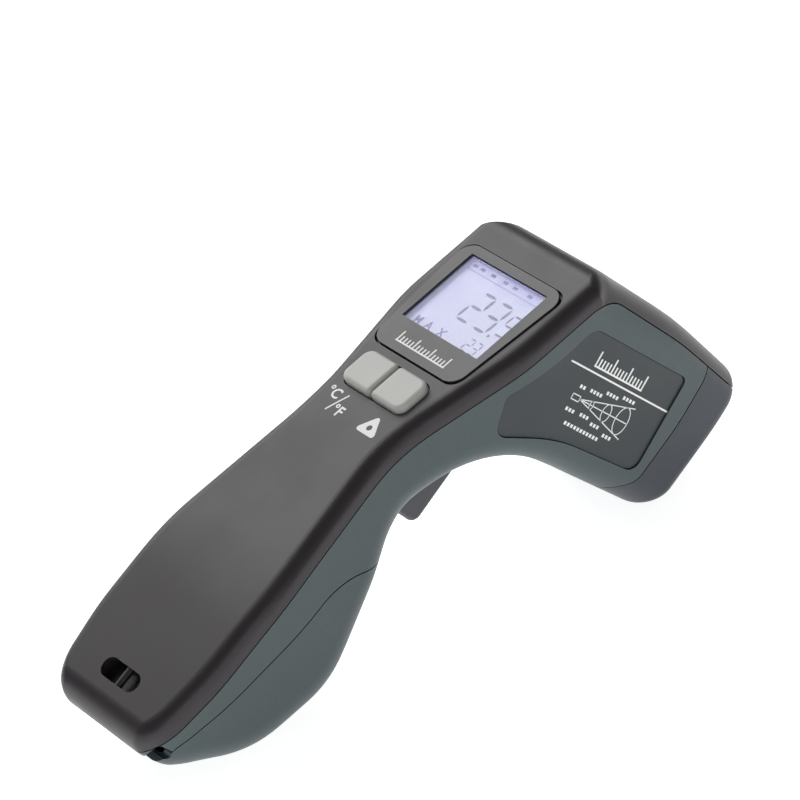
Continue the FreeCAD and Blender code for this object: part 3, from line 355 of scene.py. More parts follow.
@dataclass(frozen=True)
class RubberKey(Finish):
    """Pale soft-touch keys: an even colour, a little darker in the grain, with dulled rubbed middles."""

    roughness: float = 0.5

    def build(self, effects: Effects) -> bpy.types.Material:
        """Builds the material.

        Args:
            effects: the shared node groups.

        Returns:
            The material.
        """
        material, tree, shader, place = self.start()
        grain = effects.place(tree, effects.grain, {"Vector": place, "Scale": 4200.0, "Coarse": 0.2})
        used = effects.place(tree, effects.handling, {"Vector": place, "Scale": 160.0, "Smear": 0.5})
        base = self.mix(tree, maths(tree, "MULTIPLY", grain.outputs["Hollow"], 0.3),
                        shade(self.colour, 1.0), shade(self.colour, 0.86))
        base = self.mix(tree, maths(tree, "MULTIPLY", used.outputs["Mask"], 0.25), base,
                        (self.colour[0] * 0.9, self.colour[1] * 0.88, self.colour[2] * 0.84, 1.0))
        link(tree, base, shader.inputs["Base Color"])
        link(tree, spread(tree, used.outputs["Mask"], 0.0, 1.0, self.roughness, self.roughness - 0.12),
             shader.inputs["Roughness"])
        self.bump(tree, shader, grain.outputs["Height"], 0.35, 0.00002)
        return material


@dataclass(frozen=True)
class Metal(Finish):
    """Plated or turned metal with fine lines along one direction and a little tarnish."""

    roughness: float = 0.28
    lines: tuple[float, float, float] = (1.0, 1.0, 14.0)

    def build(self, effects: Effects) -> bpy.types.Material:
        """Builds the material.

        Args:
            effects: the shared node groups.

        Returns:
            The material.
        """
        material, tree, shader, place = self.start()
        shader.inputs["Metallic"].default_value = 1.0
        drawn = add(tree, "ShaderNodeMapping", {}, {"Vector": place, "Scale": self.lines})
        streak = noise(tree, drawn.outputs["Vector"], 900.0, 4.0, 0.65)
        used = effects.place(tree, effects.handling, {"Vector": place, "Scale": 200.0, "Smear": 0.3})
        base = self.mix(tree, streak, shade(self.colour, 0.82), shade(self.colour, 1.08))
        base = self.mix(tree, maths(tree, "MULTIPLY", used.outputs["Mask"], 0.3), base,
                        (self.colour[0] * 0.7, self.colour[1] * 0.64, self.colour[2] * 0.56, 1.0))
        link(tree, base, shader.inputs["Base Color"])
        link(tree, spread(tree, streak, 0.3, 0.7, self.roughness - 0.08, self.roughness + 0.12),
             shader.inputs["Roughness"])
        self.bump(tree, shader, streak, 0.25, 0.00001)
        return material


@dataclass(frozen=True)
class ClearWindow(Finish):
    """Clear hard-coated acrylic with faint wipe marks."""

    def build(self, effects: Effects) -> bpy.types.Material:
        """Builds the material.

        Args:
            effects: the shared node groups.

        Returns:
            The material.
        """
        material, tree, shader, place = self.start()
        used = effects.place(tree, effects.handling, {"Vector": place, "Scale": 120.0, "Smear": 0.7})
        link(tree, spread(tree, used.outputs["Mask"], 0.0, 1.0, 0.02, 0.07), shader.inputs["Roughness"])
        tint = self.mix(tree, used.outputs["Mask"], shade(self.colour, 1.0), shade(self.colour, 0.97))
        link(tree, tint, shader.inputs["Base Color"])
        shader.inputs["Transmission Weight"].default_value = 1.0
        shader.inputs["IOR"].default_value = 1.2
        shader.inputs["Specular IOR Level"].default_value = 0.25
        self.bump(tree, shader, noise(tree, place, 700.0, 2.0), 0.05, 0.00001)
        return material


@dataclass(frozen=True)
class LitDisplay(Finish):
    """A lit liquid crystal: pale and faintly clouded, with painted shade that makes it bluer towards its
    upper and left edges, where the bezel's shadow falls.
    """

    # colour of the painted shade along the upper and left edges
    painted_shade_colour: tuple[float, float, float] = (0.40, 0.38, 0.80)
    half_wide: float = 0.0135
    half_tall: float = 0.0109
    glow: float = 0.36

    def build(self, effects: Effects) -> bpy.types.Material:
        """Builds the material.

        Args:
            effects: the shared node groups.

        Returns:
            The material.
        """
        material, tree, shader, place = self.start()
        # Painted shade: a ramp from the middle out to the upper and left edges, broken by a faint cloud.
        offset = add(tree, "ShaderNodeVectorMath", {"operation": "SUBTRACT"},
                     {0: place, 1: tuple(FACE.origin)})
        shade_ramps = []
        for way, half in ((-FACE.right, self.half_wide), (FACE.up, self.half_tall)):
            reach = add(tree, "ShaderNodeVectorMath", {"operation": "DOT_PRODUCT"},
                        {0: offset.outputs[0], 1: tuple(way)}).outputs["Value"]
            shade_ramps.append(spread(tree, reach, half * 0.35, half, 0.0, 1.0))
        left, upper = shade_ramps
        cloud = spread(tree, noise(tree, place, 220.0, 4.0, 0.6), 0.3, 0.7, 0.35, 1.15)
        shade_ramp = maths(tree, "MAXIMUM", maths(tree, "MULTIPLY", left, 0.55), upper)
        painted_shade = maths(tree, "MULTIPLY", maths(tree, "POWER", shade_ramp, 1.4), cloud, clamp=True)
        used = effects.place(tree, effects.handling, {"Vector": place, "Scale": 90.0, "Smear": 0.6})
        base = self.mix(tree, maths(tree, "MULTIPLY", used.outputs["Mask"], 0.4), shade(self.colour, 1.0),
                        (self.colour[0] * 0.86, self.colour[1] * 0.88, self.colour[2] * 1.0, 1.0))
        # mixes the painted shade colour in towards the upper and left edges
        base = self.mix(tree, maths(tree, "MULTIPLY", painted_shade, 0.8), base, shade(self.painted_shade_colour, 1.0))
        link(tree, base, shader.inputs["Base Color"])
        link(tree, base, shader.inputs["Emission Color"])
        shader.inputs["Emission Strength"].default_value = self.glow
        link(tree, spread(tree, cloud, 0.3, 1.1, 0.3, 0.42), shader.inputs["Roughness"])
        return material


@dataclass(frozen=True)
class CircuitBoard(Finish):
    """Green solder mask over copper tracks."""

    track: tuple[float, float, float] = (0.03, 0.22, 0.08)

    def build(self, effects: Effects) -> bpy.types.Material:
        """Builds the material.

        Args:
            effects: the shared node groups.

        Returns:
            The material.
        """
        material, tree, shader, place = self.start()
        lines = add(tree, "ShaderNodeTexBrick", {"offset": 0.35, "squash": 0.7},
                    {"Vector": place, "Scale": 420.0, "Mortar Size": 0.09, "Brick Width": 2.4,
                     "Row Height": 0.35})
        used = effects.place(tree, effects.handling, {"Vector": place, "Scale": 150.0, "Smear": 0.3})
        base = self.mix(tree, lines.outputs["Fac"], shade(self.track, 1.0), shade(self.colour, 1.0))
        dull = maths(tree, "MULTIPLY", used.outputs["Mask"], 0.3)
        base = self.mix(tree, dull, base, shade(self.colour, 0.6))
        link(tree, base, shader.inputs["Base Color"])
        link(tree, spread(tree, used.outputs["Mask"], 0.0, 1.0, 0.25, 0.4), shader.inputs["Roughness"])
        self.bump(tree, shader, lines.outputs["Fac"], 0.3, 0.00003)
        return material


# ---------------------------------------------------------------- geometry building

def evaluated_mesh(name: str, start: bpy.types.Mesh, tree: bpy.types.NodeTree,
                   inputs: dict) -> bpy.types.Mesh:
    """Runs a geometry tree on a mesh and returns the plain result.

    Args:
        name: the new mesh's name.
        start: the mesh that the tree starts from.
        tree: the geometry tree.
        inputs: input name to value.

    Returns:
        The mesh that the tree makes.
    """
    holder = bpy.data.objects.new(name + "_maker", start)
    bpy.context.scene.collection.objects.link(holder)
    modifier = holder.modifiers.new("maker", "NODES")
    modifier.node_group = tree
    for socket in tree.interface.items_tree:
        if socket.name in inputs and socket.in_out == "INPUT":
            modifier[socket.identifier] = inputs[socket.name]
    seen = holder.evaluated_get(bpy.context.evaluated_depsgraph_get())
    made = bpy.data.meshes.new_from_object(seen)
    made.name = name
    holder.modifiers.clear()
    bpy.data.objects.remove(holder)
    return made


def piece(name: str, mesh: bpy.types.Mesh, material: bpy.types.Material) -> None:
    """Puts a finished mesh in the scene, with its finish and its slot, riding on the root body.

    Args:
        name: the piece's name.
        mesh: its mesh, placed in the model's frame.
        material: its finish.
    """
    made = bpy.data.objects.new(name, mesh)
    bpy.context.scene.collection.objects.link(made)
    mesh.materials.clear()
    mesh.materials.append(material)
    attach(made, "root")
    LOG.info("%s: %d faces", name, len(mesh.polygons))


def dress_instances(tree: bpy.types.NodeTree, spots: bpy.types.Node, material: bpy.types.Material) -> None:
    """Ends a tree: makes its instances real and gives them their finish."""
    real = add(tree, "GeometryNodeRealizeInstances", {}, {0: spots.outputs[0]})
    dressed = add(tree, "GeometryNodeSetMaterial", {}, {"Geometry": real.outputs[0], "Material": material})
    link(tree, dressed.outputs[0], tree.nodes["gives"].inputs["Geometry"])


def segment_tree(material: bpy.types.Material) -> bpy.types.NodeTree:
    """A tree that sets a six-sided bar, pointed at both ends, on each point, turned as the point says.

    Args:
        material: the bars' finish.

    Returns:
        The tree.
    """
    tree = new_group("GeometryNodeTree", "display_segments",
                     [("Geometry", Socket.SHAPE, None), ("Bar Length", Socket.NUMBER, 3.6),
                      ("Bar Width", Socket.NUMBER, 0.9), ("Bar Depth", Socket.NUMBER, 0.04)],
                     [("Geometry", Socket.SHAPE)])
    takes = tree.nodes["takes"]
    bar = add(tree, "GeometryNodeMeshCylinder", {"fill_type": "NGON"},
              {"Vertices": 6, "Radius": 0.5, "Depth": takes.outputs["Bar Depth"]})
    stretch = add(tree, "ShaderNodeCombineXYZ", {}, {"X": takes.outputs["Bar Length"],
                                                     "Y": takes.outputs["Bar Width"], "Z": 1.0})
    shaped = add(tree, "GeometryNodeTransform", {}, {"Geometry": bar.outputs["Mesh"],
                                                     "Scale": stretch.outputs[0]})
    turn = add(tree, "GeometryNodeInputNamedAttribute", {"data_type": "FLOAT"}, {"Name": "turn"})
    size = add(tree, "GeometryNodeInputNamedAttribute", {"data_type": "FLOAT"}, {"Name": "size"})
    angle = add(tree, "ShaderNodeCombineXYZ", {}, {"Z": turn.outputs["Attribute"]})
    scale = add(tree, "ShaderNodeCombineXYZ", {}, {"X": size.outputs["Attribute"],
                                                   "Y": size.outputs["Attribute"], "Z": 1.0})
    spin = add(tree, "FunctionNodeEulerToRotation", {}, {0: angle.outputs[0]})
    spots = add(tree, "GeometryNodeInstanceOnPoints", {},
                {"Points": takes.outputs["Geometry"], "Instance": shaped.outputs[0],
                 "Rotation": spin.outputs[0], "Scale": scale.outputs[0]})
    dress_instances(tree, spots, material)
    return tree


def scale_tree(material: bpy.types.Material) -> bpy.types.NodeTree:
    """A tree that makes a graduated scale: a row of ticks on a base line, every fifth one taller.

    Args:
        material: the scale's finish.

    Returns:
        The tree.
    """
    tree = new_group("GeometryNodeTree", "graduated_scale",
                     [("Geometry", Socket.SHAPE, None), ("Ticks", Socket.WHOLE, 16),
                      ("Pitch", Socket.NUMBER, 1.1), ("Tall", Socket.NUMBER, 2.4),
                      ("Stroke", Socket.NUMBER, 0.28), ("Thick", Socket.NUMBER, 0.04)],
                     [("Geometry", Socket.SHAPE)])
    takes = tree.nodes["takes"]
    step = add(tree, "ShaderNodeCombineXYZ", {}, {"X": takes.outputs["Pitch"]})
    row = add(tree, "GeometryNodeMeshLine", {}, {"Count": takes.outputs["Ticks"], "Offset": step.outputs[0]})
    size = add(tree, "ShaderNodeCombineXYZ", {}, {"X": takes.outputs["Stroke"], "Y": 1.0,
                                                  "Z": takes.outputs["Thick"]})
    tick = add(tree, "GeometryNodeMeshCube", {}, {"Size": size.outputs[0]})
    lifted = add(tree, "GeometryNodeTransform", {},
                 {"Geometry": tick.outputs["Mesh"], "Translation": (0, 0.5, 0)})
    index = add(tree, "GeometryNodeInputIndex").outputs[0]
    fifth = maths(tree, "COMPARE", maths(tree, "MODULO", index, 5.0), 0.0)
    share = spread(tree, fifth, 0.0, 1.0, 0.55, 1.0)
    tall = maths(tree, "MULTIPLY", share, takes.outputs["Tall"])
    scale = add(tree, "ShaderNodeCombineXYZ", {}, {"X": 1.0, "Y": tall, "Z": 1.0})
    spots = add(tree, "GeometryNodeInstanceOnPoints", {},
                {"Points": row.outputs[0], "Instance": lifted.outputs[0], "Scale": scale.outputs[0]})
    dress_instances(tree, spots, material)
    return tree


def stroke(points: Sequence[Point], width: float, step: float = 1.2) -> list[list[Point]]:
    """Cuts a line of a given width into short four-sided tiles, so that it can follow a curved surface.

    Args:
        points: the line's corners, in millimetres.
        width: its width.
        step: the longest tile.

    Returns:
        The tiles, each as its four corners.
    """
    tiles = []
    for (x0, y0), (x1, y1) in zip(points, points[1:]):
        run = math.hypot(x1 - x0, y1 - y0)
        side = (-(y1 - y0) / run * width / 2, (x1 - x0) / run * width / 2)
        count = max(1, math.ceil(run / step))
        spots = [(x0 + (x1 - x0) * i / count, y0 + (y1 - y0) * i / count) for i in range(count + 1)]
        for (ax, ay), (bx, by) in zip(spots, spots[1:]):
            tiles.append([(ax - side[0], ay - side[1]), (bx - side[0], by - side[1]),
                          (bx + side[0], by + side[1]), (ax + side[0], ay + side[1])])
    return tiles


def ring(middle: Point, across: float, above: float, width: float) -> list[list[Point]]:
    """An elliptical line as tiles.

    Args:
        middle: its centre.
        across: its half width.
        above: its half height.
        width: the line's width.

    Returns:
        The tiles.
    """
    count = 30
    angles = [2 * math.pi * i / count for i in range(count + 1)]
    spots = [(middle[0] + across * math.cos(a), middle[1] + above * math.sin(a)) for a in angles]
    return stroke(spots, width)


def tiles_mesh(name: str, tiles: Sequence[Sequence[Point]], thick: float) -> bpy.types.Mesh:
    """Makes a thin solid from each flat outline.

    Args:
        name: the mesh's name.
        tiles: outlines, counter-clockwise, in millimetres.
        thick: the solids' thickness, about the plane's zero.

    Returns:
        The mesh, still flat and in millimetres.
    """
    shape = bmesh.new()
    for outline in tiles:
        low = [shape.verts.new((x, y, -thick / 2)) for x, y in outline]
        high = [shape.verts.new((x, y, thick / 2)) for x, y in outline]
        shape.faces.new(high)
        shape.faces.new(list(reversed(low)))
        count = len(outline)
        for i in range(count):
            j = (i + 1) % count
            shape.faces.new((low[i], low[j], high[j], high[i]))
    bmesh.ops.recalc_face_normals(shape, faces=shape.faces[:])
    mesh = bpy.data.meshes.new(name)
    shape.to_mesh(mesh)
    shape.free()
    return mesh


def letters_mesh(name: str, words: str, height: float, at: Point, thick: float) -> bpy.types.Mesh:
    """Makes flat letters as thin solids, left-aligned at a point.

    Args:
        name: the mesh's name.
        words: what to write.
        height: the height of a capital, in millimetres.
        at: the lower left corner.
        thick: the letters' thickness.

    Returns:
        The mesh, still flat and in millimetres.
    """
    capital = 0.7
    curve = bpy.data.curves.new(name, "FONT")
    curve.body = words
    curve.size = height / capital
    curve.extrude = thick / 2
    curve.offset = height * 0.03
    curve.resolution_u = 3
    holder = bpy.data.objects.new(name + "_maker", curve)
    bpy.context.scene.collection.objects.link(holder)
    mesh = bpy.data.meshes.new_from_object(holder.evaluated_get(bpy.context.evaluated_depsgraph_get()))
    bpy.data.objects.remove(holder)
    mesh.transform(Matrix.Translation((at[0], at[1], 0)))
    return mesh


def joined(name: str, parts: Sequence[bpy.types.Mesh]) -> bpy.types.Mesh:
    """Puts several meshes into one."""
    shape = bmesh.new()
    for part in parts:
        shape.from_mesh(part)
    mesh = bpy.data.meshes.new(name)
    shape.to_mesh(mesh)
    shape.free()
    return mesh


class Surface:
    """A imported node's skin, which prints are laid on."""

    def __init__(self, node: str) -> None:
        """Reads the node's triangles."""
        mesh = frame["nodes"][node].data
        corners = [vertex.co.copy() for vertex in mesh.vertices]
        self.tree = BVHTree.FromPolygons(corners, [tuple(face.vertices) for face in mesh.polygons])

    def lay(self, mesh: bpy.types.Mesh, plane: Plane) -> bpy.types.Mesh:
        """Lays a flat mesh on the skin, along the plane's own direction.

        Args:
            mesh: a flat mesh in the plane's millimetres.
            plane: where the mesh is drawn.

        Returns:
            The same mesh, now in the model's frame.
        """
        reach = 12.0  # millimetres off the plane, clear of every bulge
        for vertex in mesh.vertices:
            across, above, off = vertex.co
            start = plane.at(across, above, reach)
            hit = self.tree.ray_cast(start, -plane.out)[0]
            skin = hit if hit is not None else plane.at(across, above)
            vertex.co = skin + plane.out * off * MM
        return mesh


# ---------------------------------------------------------------- finishes

@dataclass
class Paints:
    """Every finish of the instrument, built once."""

    effects: Effects = field(default_factory=Effects)
    made: dict[str, bpy.types.Material] = field(default_factory=dict)

    def get(self, finish: Finish) -> bpy.types.Material:
        """The material of a finish, built when it is first asked for."""
        if finish.name not in self.made:
            self.made[finish.name] = finish.build(self.effects)
        return self.made[finish.name]


COVER = MouldedPlastic("cover_satin_charcoal", (0.022, 0.018, 0.021), roughness=0.42, depth=0.00002,
                       speckle=0.06, specular=0.4)
BODY = MouldedPlastic("body_satin_slate", (0.045, 0.066, 0.070), roughness=0.48, depth=0.00003)
NOSE = MouldedPlastic("nose_satin_blue_grey", (0.027, 0.034, 0.045), roughness=0.48, depth=0.00004)
LABEL = MouldedPlastic("label_matt_film", (0.022, 0.030, 0.034), roughness=0.5, grain=4200.0, depth=0.00002,
                       edge=0.1)
BEZEL = MouldedPlastic("bezel_satin_grey", (0.027, 0.026, 0.028), roughness=0.42, grain=3600.0,
                       depth=0.00002)
TRIGGER = MouldedPlastic("trigger_satin_dark", (0.046, 0.050, 0.058), roughness=0.45, depth=0.00003)
BLACK = MouldedPlastic("black_moulding", (0.012, 0.012, 0.013), roughness=0.5)
VINYL = MouldedPlastic("snap_vinyl", (0.016, 0.016, 0.016), roughness=0.35, coarse=0.2)
PLUNGER = MouldedPlastic("switch_plunger_red", (0.28, 0.05, 0.04), roughness=0.4)
LEAD = MouldedPlastic("lead_red_pvc", (0.35, 0.02, 0.02), roughness=0.35, coarse=0.1)
JACKET = MouldedPlastic("battery_printed_jacket", (0.05, 0.05, 0.06), roughness=0.3, worn=0.15)
LENS = MouldedPlastic("lens_milky_film", (0.72, 0.73, 0.70), roughness=0.3, coarse=0.1, speckle=0.02)
LIGHT_GUIDE = MouldedPlastic("backlight_white", (0.8, 0.8, 0.84), roughness=0.4, speckle=0.02)
PRINT = MouldedPlastic("print_white", (0.80, 0.81, 0.80), roughness=0.5, grain=6000.0, depth=0.00001,
                       speckle=0.04, edge=0.0)
INK = MouldedPlastic("display_ink", (0.33, 0.33, 0.46), roughness=0.4, grain=6000.0, depth=0.00001,
                     speckle=0.03, edge=0.0)
FAINT_INK = MouldedPlastic("display_faint_ink", (0.34, 0.33, 0.60), roughness=0.4, grain=6000.0,
                           depth=0.00001, speckle=0.03, edge=0.0)
KEY = RubberKey("key_pale_grey", (0.50, 0.50, 0.48))
STEEL = Metal("plated_steel", (0.60, 0.60, 0.60))
BRASS = Metal("turned_brass", (0.62, 0.44, 0.19), roughness=0.3)
WINDOW = ClearWindow("clear_window", (0.93, 0.93, 0.97))
DISPLAY = LitDisplay("display_lit", (0.64, 0.66, 0.82))
BOARD = CircuitBoard("board_green_mask", (0.02, 0.12, 0.05))

NODE_FINISHES: dict[Finish, tuple[str, ...]] = {
    COVER: ("back_cover", "lanyard_bar"),
    BODY: ("left_body_shell", "right_body_shell", "battery_door"),
    NOSE: ("nose_bezel",),
    LABEL: ("left_label_plate", "right_label_plate"),
    BEZEL: ("display_bezel",),
    TRIGGER: ("trigger",),
    KEY: ("left_key", "right_key"),
    WINDOW: ("display_window", "laser_window"),
    DISPLAY: ("lcd_glass",),
    LIGHT_GUIDE: ("lcd_backlight",),
    BOARD: ("main_board", "sensor_board"),
    BLACK: ("left_key_switch", "right_key_switch", "trigger_switch", "microcontroller", "buzzer",
            "sensor_tube", "lens_ring"),
    VINYL: ("battery_snap",),
    PLUNGER: ("left_key_plunger", "right_key_plunger", "trigger_switch_plunger"),
    STEEL: ("trigger_pin", "door_hinge_pin", "trigger_spring", "casing_screws", "board_screws",
            "thermopile"),
    BRASS: ("laser_module",),
    LEAD: ("battery_leads", "laser_leads"),
    JACKET: ("battery",),
    LENS: ("ir_lens",),
}


@dataclass
class Casing:
    """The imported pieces, whose shapes are right and only need their finishes."""

    paints: Paints

    def dress(self) -> None:
        """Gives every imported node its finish."""
        for finish, nodes in NODE_FINISHES.items():
            for node in nodes:
                target = frame["nodes"][node]
                for slot in target.material_slots:
                    slot.material = self.paints.get(finish)
                LOG.info("%s: %s", node, finish.name)


class Bar(Enum):
    """The seven bars of a digit: where each one is, in halves of the digit's size, and how it lies."""

    TOP = (0.0, 1.0, 0.0)
    UPPER_LEFT = (-1.0, 0.5, 90.0)
    UPPER_RIGHT = (1.0, 0.5, 90.0)
    MIDDLE = (0.0, 0.0, 0.0)
    LOWER_LEFT = (-1.0, -0.5, 90.0)
    LOWER_RIGHT = (1.0, -0.5, 90.0)
    BOTTOM = (0.0, -1.0, 0.0)


TWO = (Bar.TOP, Bar.UPPER_RIGHT, Bar.MIDDLE, Bar.LOWER_LEFT, Bar.BOTTOM)
THREE = (Bar.TOP, Bar.UPPER_RIGHT, Bar.MIDDLE, Bar.LOWER_RIGHT, Bar.BOTTOM)
FIVE = (Bar.TOP, Bar.UPPER_LEFT, Bar.MIDDLE, Bar.LOWER_RIGHT, Bar.BOTTOM)
ONE = (Bar.UPPER_RIGHT, Bar.LOWER_RIGHT)


@dataclass
class Reading:
    """The figures and signs on the liquid crystal, standing just off its glass."""

    paints: Paints
    glass: float = 2.2
    thick: float = 0.03
    stand: float = 0.04
    slant: float = 0.06
    digit_wide: float = 4.1
    digit_tall: float = 8.6
    bar_long: float = 3.8
    bar_wide: float = 0.85
    small: float = 0.42
    row: float = 0.3
    low_row: float = -8.4

    def plane(self) -> Plane:
        """Just off the glass's outer face."""
        origin = centre("lcd_glass") + FACE.out * (self.glass / 2 + self.stand) * MM
        return Plane(origin, FACE.right, FACE.up)

    def points(self, digits: Sequence[tuple[Sequence[Bar], float, float, float]]) -> bpy.types.Mesh:
        """Makes one point for each bar that is on.

        Args:
            digits: for each digit its bars, its middle and its size.

        Returns:
            A mesh of loose points with their turns and sizes.
        """
        places, turns, sizes = [], [], []
        for bars, across, above, size in digits:
            for bar in bars:
                x, y, turn = bar.value
                height = y * self.digit_tall / 2 * size
                shift = x * self.digit_wide / 2 * size + height * self.slant
                places.append((across + shift, above + height, 0))
                turns.append(math.radians(turn - (math.degrees(self.slant) if turn else 0.0)))
                sizes.append(size)
        mesh = bpy.data.meshes.new("reading_points")
        mesh.from_pydata(places, [], [])
        for name, values in (("turn", turns), ("size", sizes)):
            mesh.attributes.new(name, "FLOAT", "POINT").data.foreach_set("value", values)
        return mesh

    def build(self) -> None:
        """Builds the large reading, the small one and the signs round them."""
        ink = self.paints.get(INK)
        faint = self.paints.get(FAINT_INK)
        digits = [(TWO, -0.4, self.row, 1.0), (THREE, 5.6, self.row, 1.0), (FIVE, 11.2, self.row, 0.72),
                  (TWO, 6.9, self.low_row, self.small), (THREE, 9.4, self.low_row, self.small),
                  (ONE, 11.4, self.low_row, self.small)]
        sizes = {"Bar Length": self.bar_long, "Bar Width": self.bar_wide, "Bar Depth": self.thick}
        bars = evaluated_mesh("reading_bars", self.points(digits), segment_tree(ink), sizes)
        dot = tiles_mesh("reading_dot", [[(8.6, -4.4), (9.3, -4.4), (9.3, -3.7), (8.6, -3.7)]], self.thick)
        place = self.plane().matrix()
        main = joined("display_reading", [bars, dot])
        main.transform(place)
        piece("display_reading", main, ink)
        word = [letters_mesh(f"display_mode_{letter}", letter, 2.2, (across, -10.3), self.thick)
                for letter, across in (("M", -11.4), ("A", -7.4), ("X", -3.0))]
        flags = [[(x, 8.9), (x + 1.5, 8.9), (x + 1.5, 9.7), (x, 9.7)]
                 for x in (-11.8, -9.2, -5.4, -1.0, 2.4, 7.6)]
        rule = stroke([(-12.4, 7.9), (12.4, 7.9)], 0.12, 30.0)
        signs = joined("display_signs", word + [tiles_mesh("display_sign_row", flags + rule, self.thick)])
        signs.transform(place)
        piece("display_signs", signs, faint)


@dataclass
class FaceMarks:
    """The white marks printed on the back cover and the display bezel."""

    paints: Paints
    thick: float = 0.05
    mark_tall: float = 2.7

    def build(self) -> None:
        """Builds the unit mark, the beam key's mark and the bezel's graduated scale."""
        white = self.paints.get(PRINT)
        cover = Surface("back_cover")
        parts = [
            letters_mesh("unit_upper", "°C", self.mark_tall, (-11.3, -36.5), self.thick),
            letters_mesh("unit_lower", "°F", self.mark_tall, (-5.7, -39.8), self.thick),
            tiles_mesh("unit_slash", stroke([(-7.2, -39.8), (-5.0, -34.0)], 0.42, 1.0), self.thick),
        ]
        for part in parts:
            cover.lay(part, FACE)
        piece("unit_mark", joined("unit_mark", parts), white)
        triangle = tiles_mesh("beam_mark", self.rounded_triangle(), self.thick)
        piece("beam_mark", cover.lay(triangle, FACE), white)
        start = bpy.data.meshes.new("scale_start")
        sizes = {"Ticks": 16, "Pitch": 1.12, "Tall": 2.7, "Stroke": 0.42, "Thick": self.thick}
        ticks = evaluated_mesh("bezel_scale", start, scale_tree(white), sizes)
        ticks.transform(Matrix.Translation((-8.4, -16.6, 0)))
        line = tiles_mesh("bezel_scale_line", stroke([(-8.7, -16.8), (8.7, -16.8)], 0.4, 1.2), self.thick)
        mark = Surface("display_bezel").lay(joined("bezel_scale", [ticks, line]), FACE)
        piece("bezel_scale", mark, white)

    def rounded_triangle(self) -> list[list[Point]]:
        """A rounded triangle with a round hole, as a fan of tiles between its outline and the hole."""
        corners = [(6.9, -34.6), (3.9, -39.6), (10.2, -39.6)]
        middle = (7.0, -38.0)
        radius, steps, pull = 0.7, 5, 0.28
        hole, pieces = 0.75, 6
        outline: list[Point] = []
        for i, (x, y) in enumerate(corners):
            inner = (x + (middle[0] - x) * pull, y + (middle[1] - y) * pull)
            for k in range(steps + 1):
                angle = math.radians(30 + 120 * i + 120 * k / steps)
                outline.append((inner[0] + radius * math.cos(angle), inner[1] + radius * math.sin(angle)))
        fine = [(ax + (bx - ax) * k / pieces, ay + (by - ay) * k / pieces)
                for (ax, ay), (bx, by) in zip(outline, outline[1:] + outline[:1]) for k in range(pieces)]
        tiles = []
        for first, second in zip(fine, fine[1:] + fine[:1]):
            near = []
            for spot in (second, first):
                angle = math.atan2(spot[1] - middle[1], spot[0] - middle[0])
                near.append((middle[0] + hole * math.cos(angle), middle[1] + hole * math.sin(angle)))
            tiles.append([first, second, near[0], near[1]])
        return tiles


class Side(Enum):
    """The two sides of the head, and which way each one faces."""

    LEFT = 1
    RIGHT = -1


@dataclass
class SideLabel:
    """The white print on one side's label plate: a graduated scale over a rule, and the beam's cone."""

    paints: Paints
    side: Side
    thick: float = 0.04
    hair: float = 0.24
    pitch: float = 1.12
    scale_start: float = 20.0
    scale_run: float = 16.8

    def plane(self) -> Plane:
        """The plane of the head's side, from the display's middle forwards and up."""
        facing = self.side.value
        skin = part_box(f"{self.name()}_label_plate")[1 if facing > 0 else 0].y
        origin = Vector((FACE.origin.x, skin, FACE.origin.z))
        return Plane(origin, FORWARD * -facing, UPWARD)

    def name(self) -> str:
        """The side's name."""
        return self.side.name.lower()

    def drawn(self, x: float, z: float) -> Point:
        """A point given forwards and up, in the plane's own directions."""
        return (x * -self.side.value, z)

    def flipped(self, tiles: Sequence[Sequence[Point]]) -> list[list[Point]]:
        """Tiles given forwards and up, turned to the plane's own directions."""
        if self.side is Side.RIGHT:
            return [list(tile) for tile in tiles]
        return [[self.drawn(x, z) for x, z in reversed(tile)] for tile in tiles]

    def build(self) -> None:
        """Builds the rule, the scale, the cone with its rings and the rows of bars beside it."""
        white = self.paints.get(PRINT)
        tiles = stroke([(12.6, 0.6), (49.2, 0.6)], 0.42)
        axis, apex = -6.1, 20.9
        tiles += stroke([(18.3, -5.5), (20.9, -5.5), (20.9, -6.8), (18.3, -6.8), (18.3, -5.5)], self.hair)
        for drop in (3.9, 0.0, -3.9):
            tiles += stroke([(apex, axis), (38.4, axis + drop)], self.hair)
        for place, half in ((25.2, 0.95), (30.6, 2.15), (36.2, 3.35)):
            tiles += ring((place, axis), half * 0.62, half, self.hair)
        tiles += self.captions()
        mesh = tiles_mesh(f"{self.name()}_label_print", self.flipped(tiles), self.thick)
        sizes = {"Ticks": 16, "Pitch": self.pitch, "Tall": 3.4, "Stroke": 0.46, "Thick": self.thick}
        empty = bpy.data.meshes.new("label_scale_start")
        scale = evaluated_mesh("label_scale", empty, scale_tree(white), sizes)
        start = self.scale_start if self.side is Side.RIGHT else -self.scale_start - self.scale_run
        scale.transform(Matrix.Translation((start, 2.2, 0)))
        line = stroke([(start - 0.3, 2.0), (start + self.scale_run + 0.3, 2.0)], 0.42)
        foot = tiles_mesh("label_scale_line", line, self.thick)
        whole = joined(f"{self.name()}_label_print", [mesh, scale, foot])
        Surface(f"{self.name()}_label_plate").lay(whole, self.plane())
        piece(f"{self.name()}_label_print", whole, white)

    def captions(self) -> list[list[Point]]:
        """Rows of short bars where figures would stand, above and below the cone and under it."""
        rows = [(19.0, -3.4, 2), (22.6, -3.2, 4), (27.6, -2.0, 4), (33.0, -1.2, 4), (18.4, -9.2, 3),
                (23.4, -9.0, 3), (27.8, -9.8, 3), (33.0, -10.8, 3), (20.4, -12.2, 11)]
        tiles = []
        for start, height, count in rows:
            for i in range(count):
                low = start + i * self.pitch
                tiles += [[(low, height - 0.42), (low + 0.72, height - 0.42),
                           (low + 0.72, height + 0.42), (low, height + 0.42)]]
        return tiles


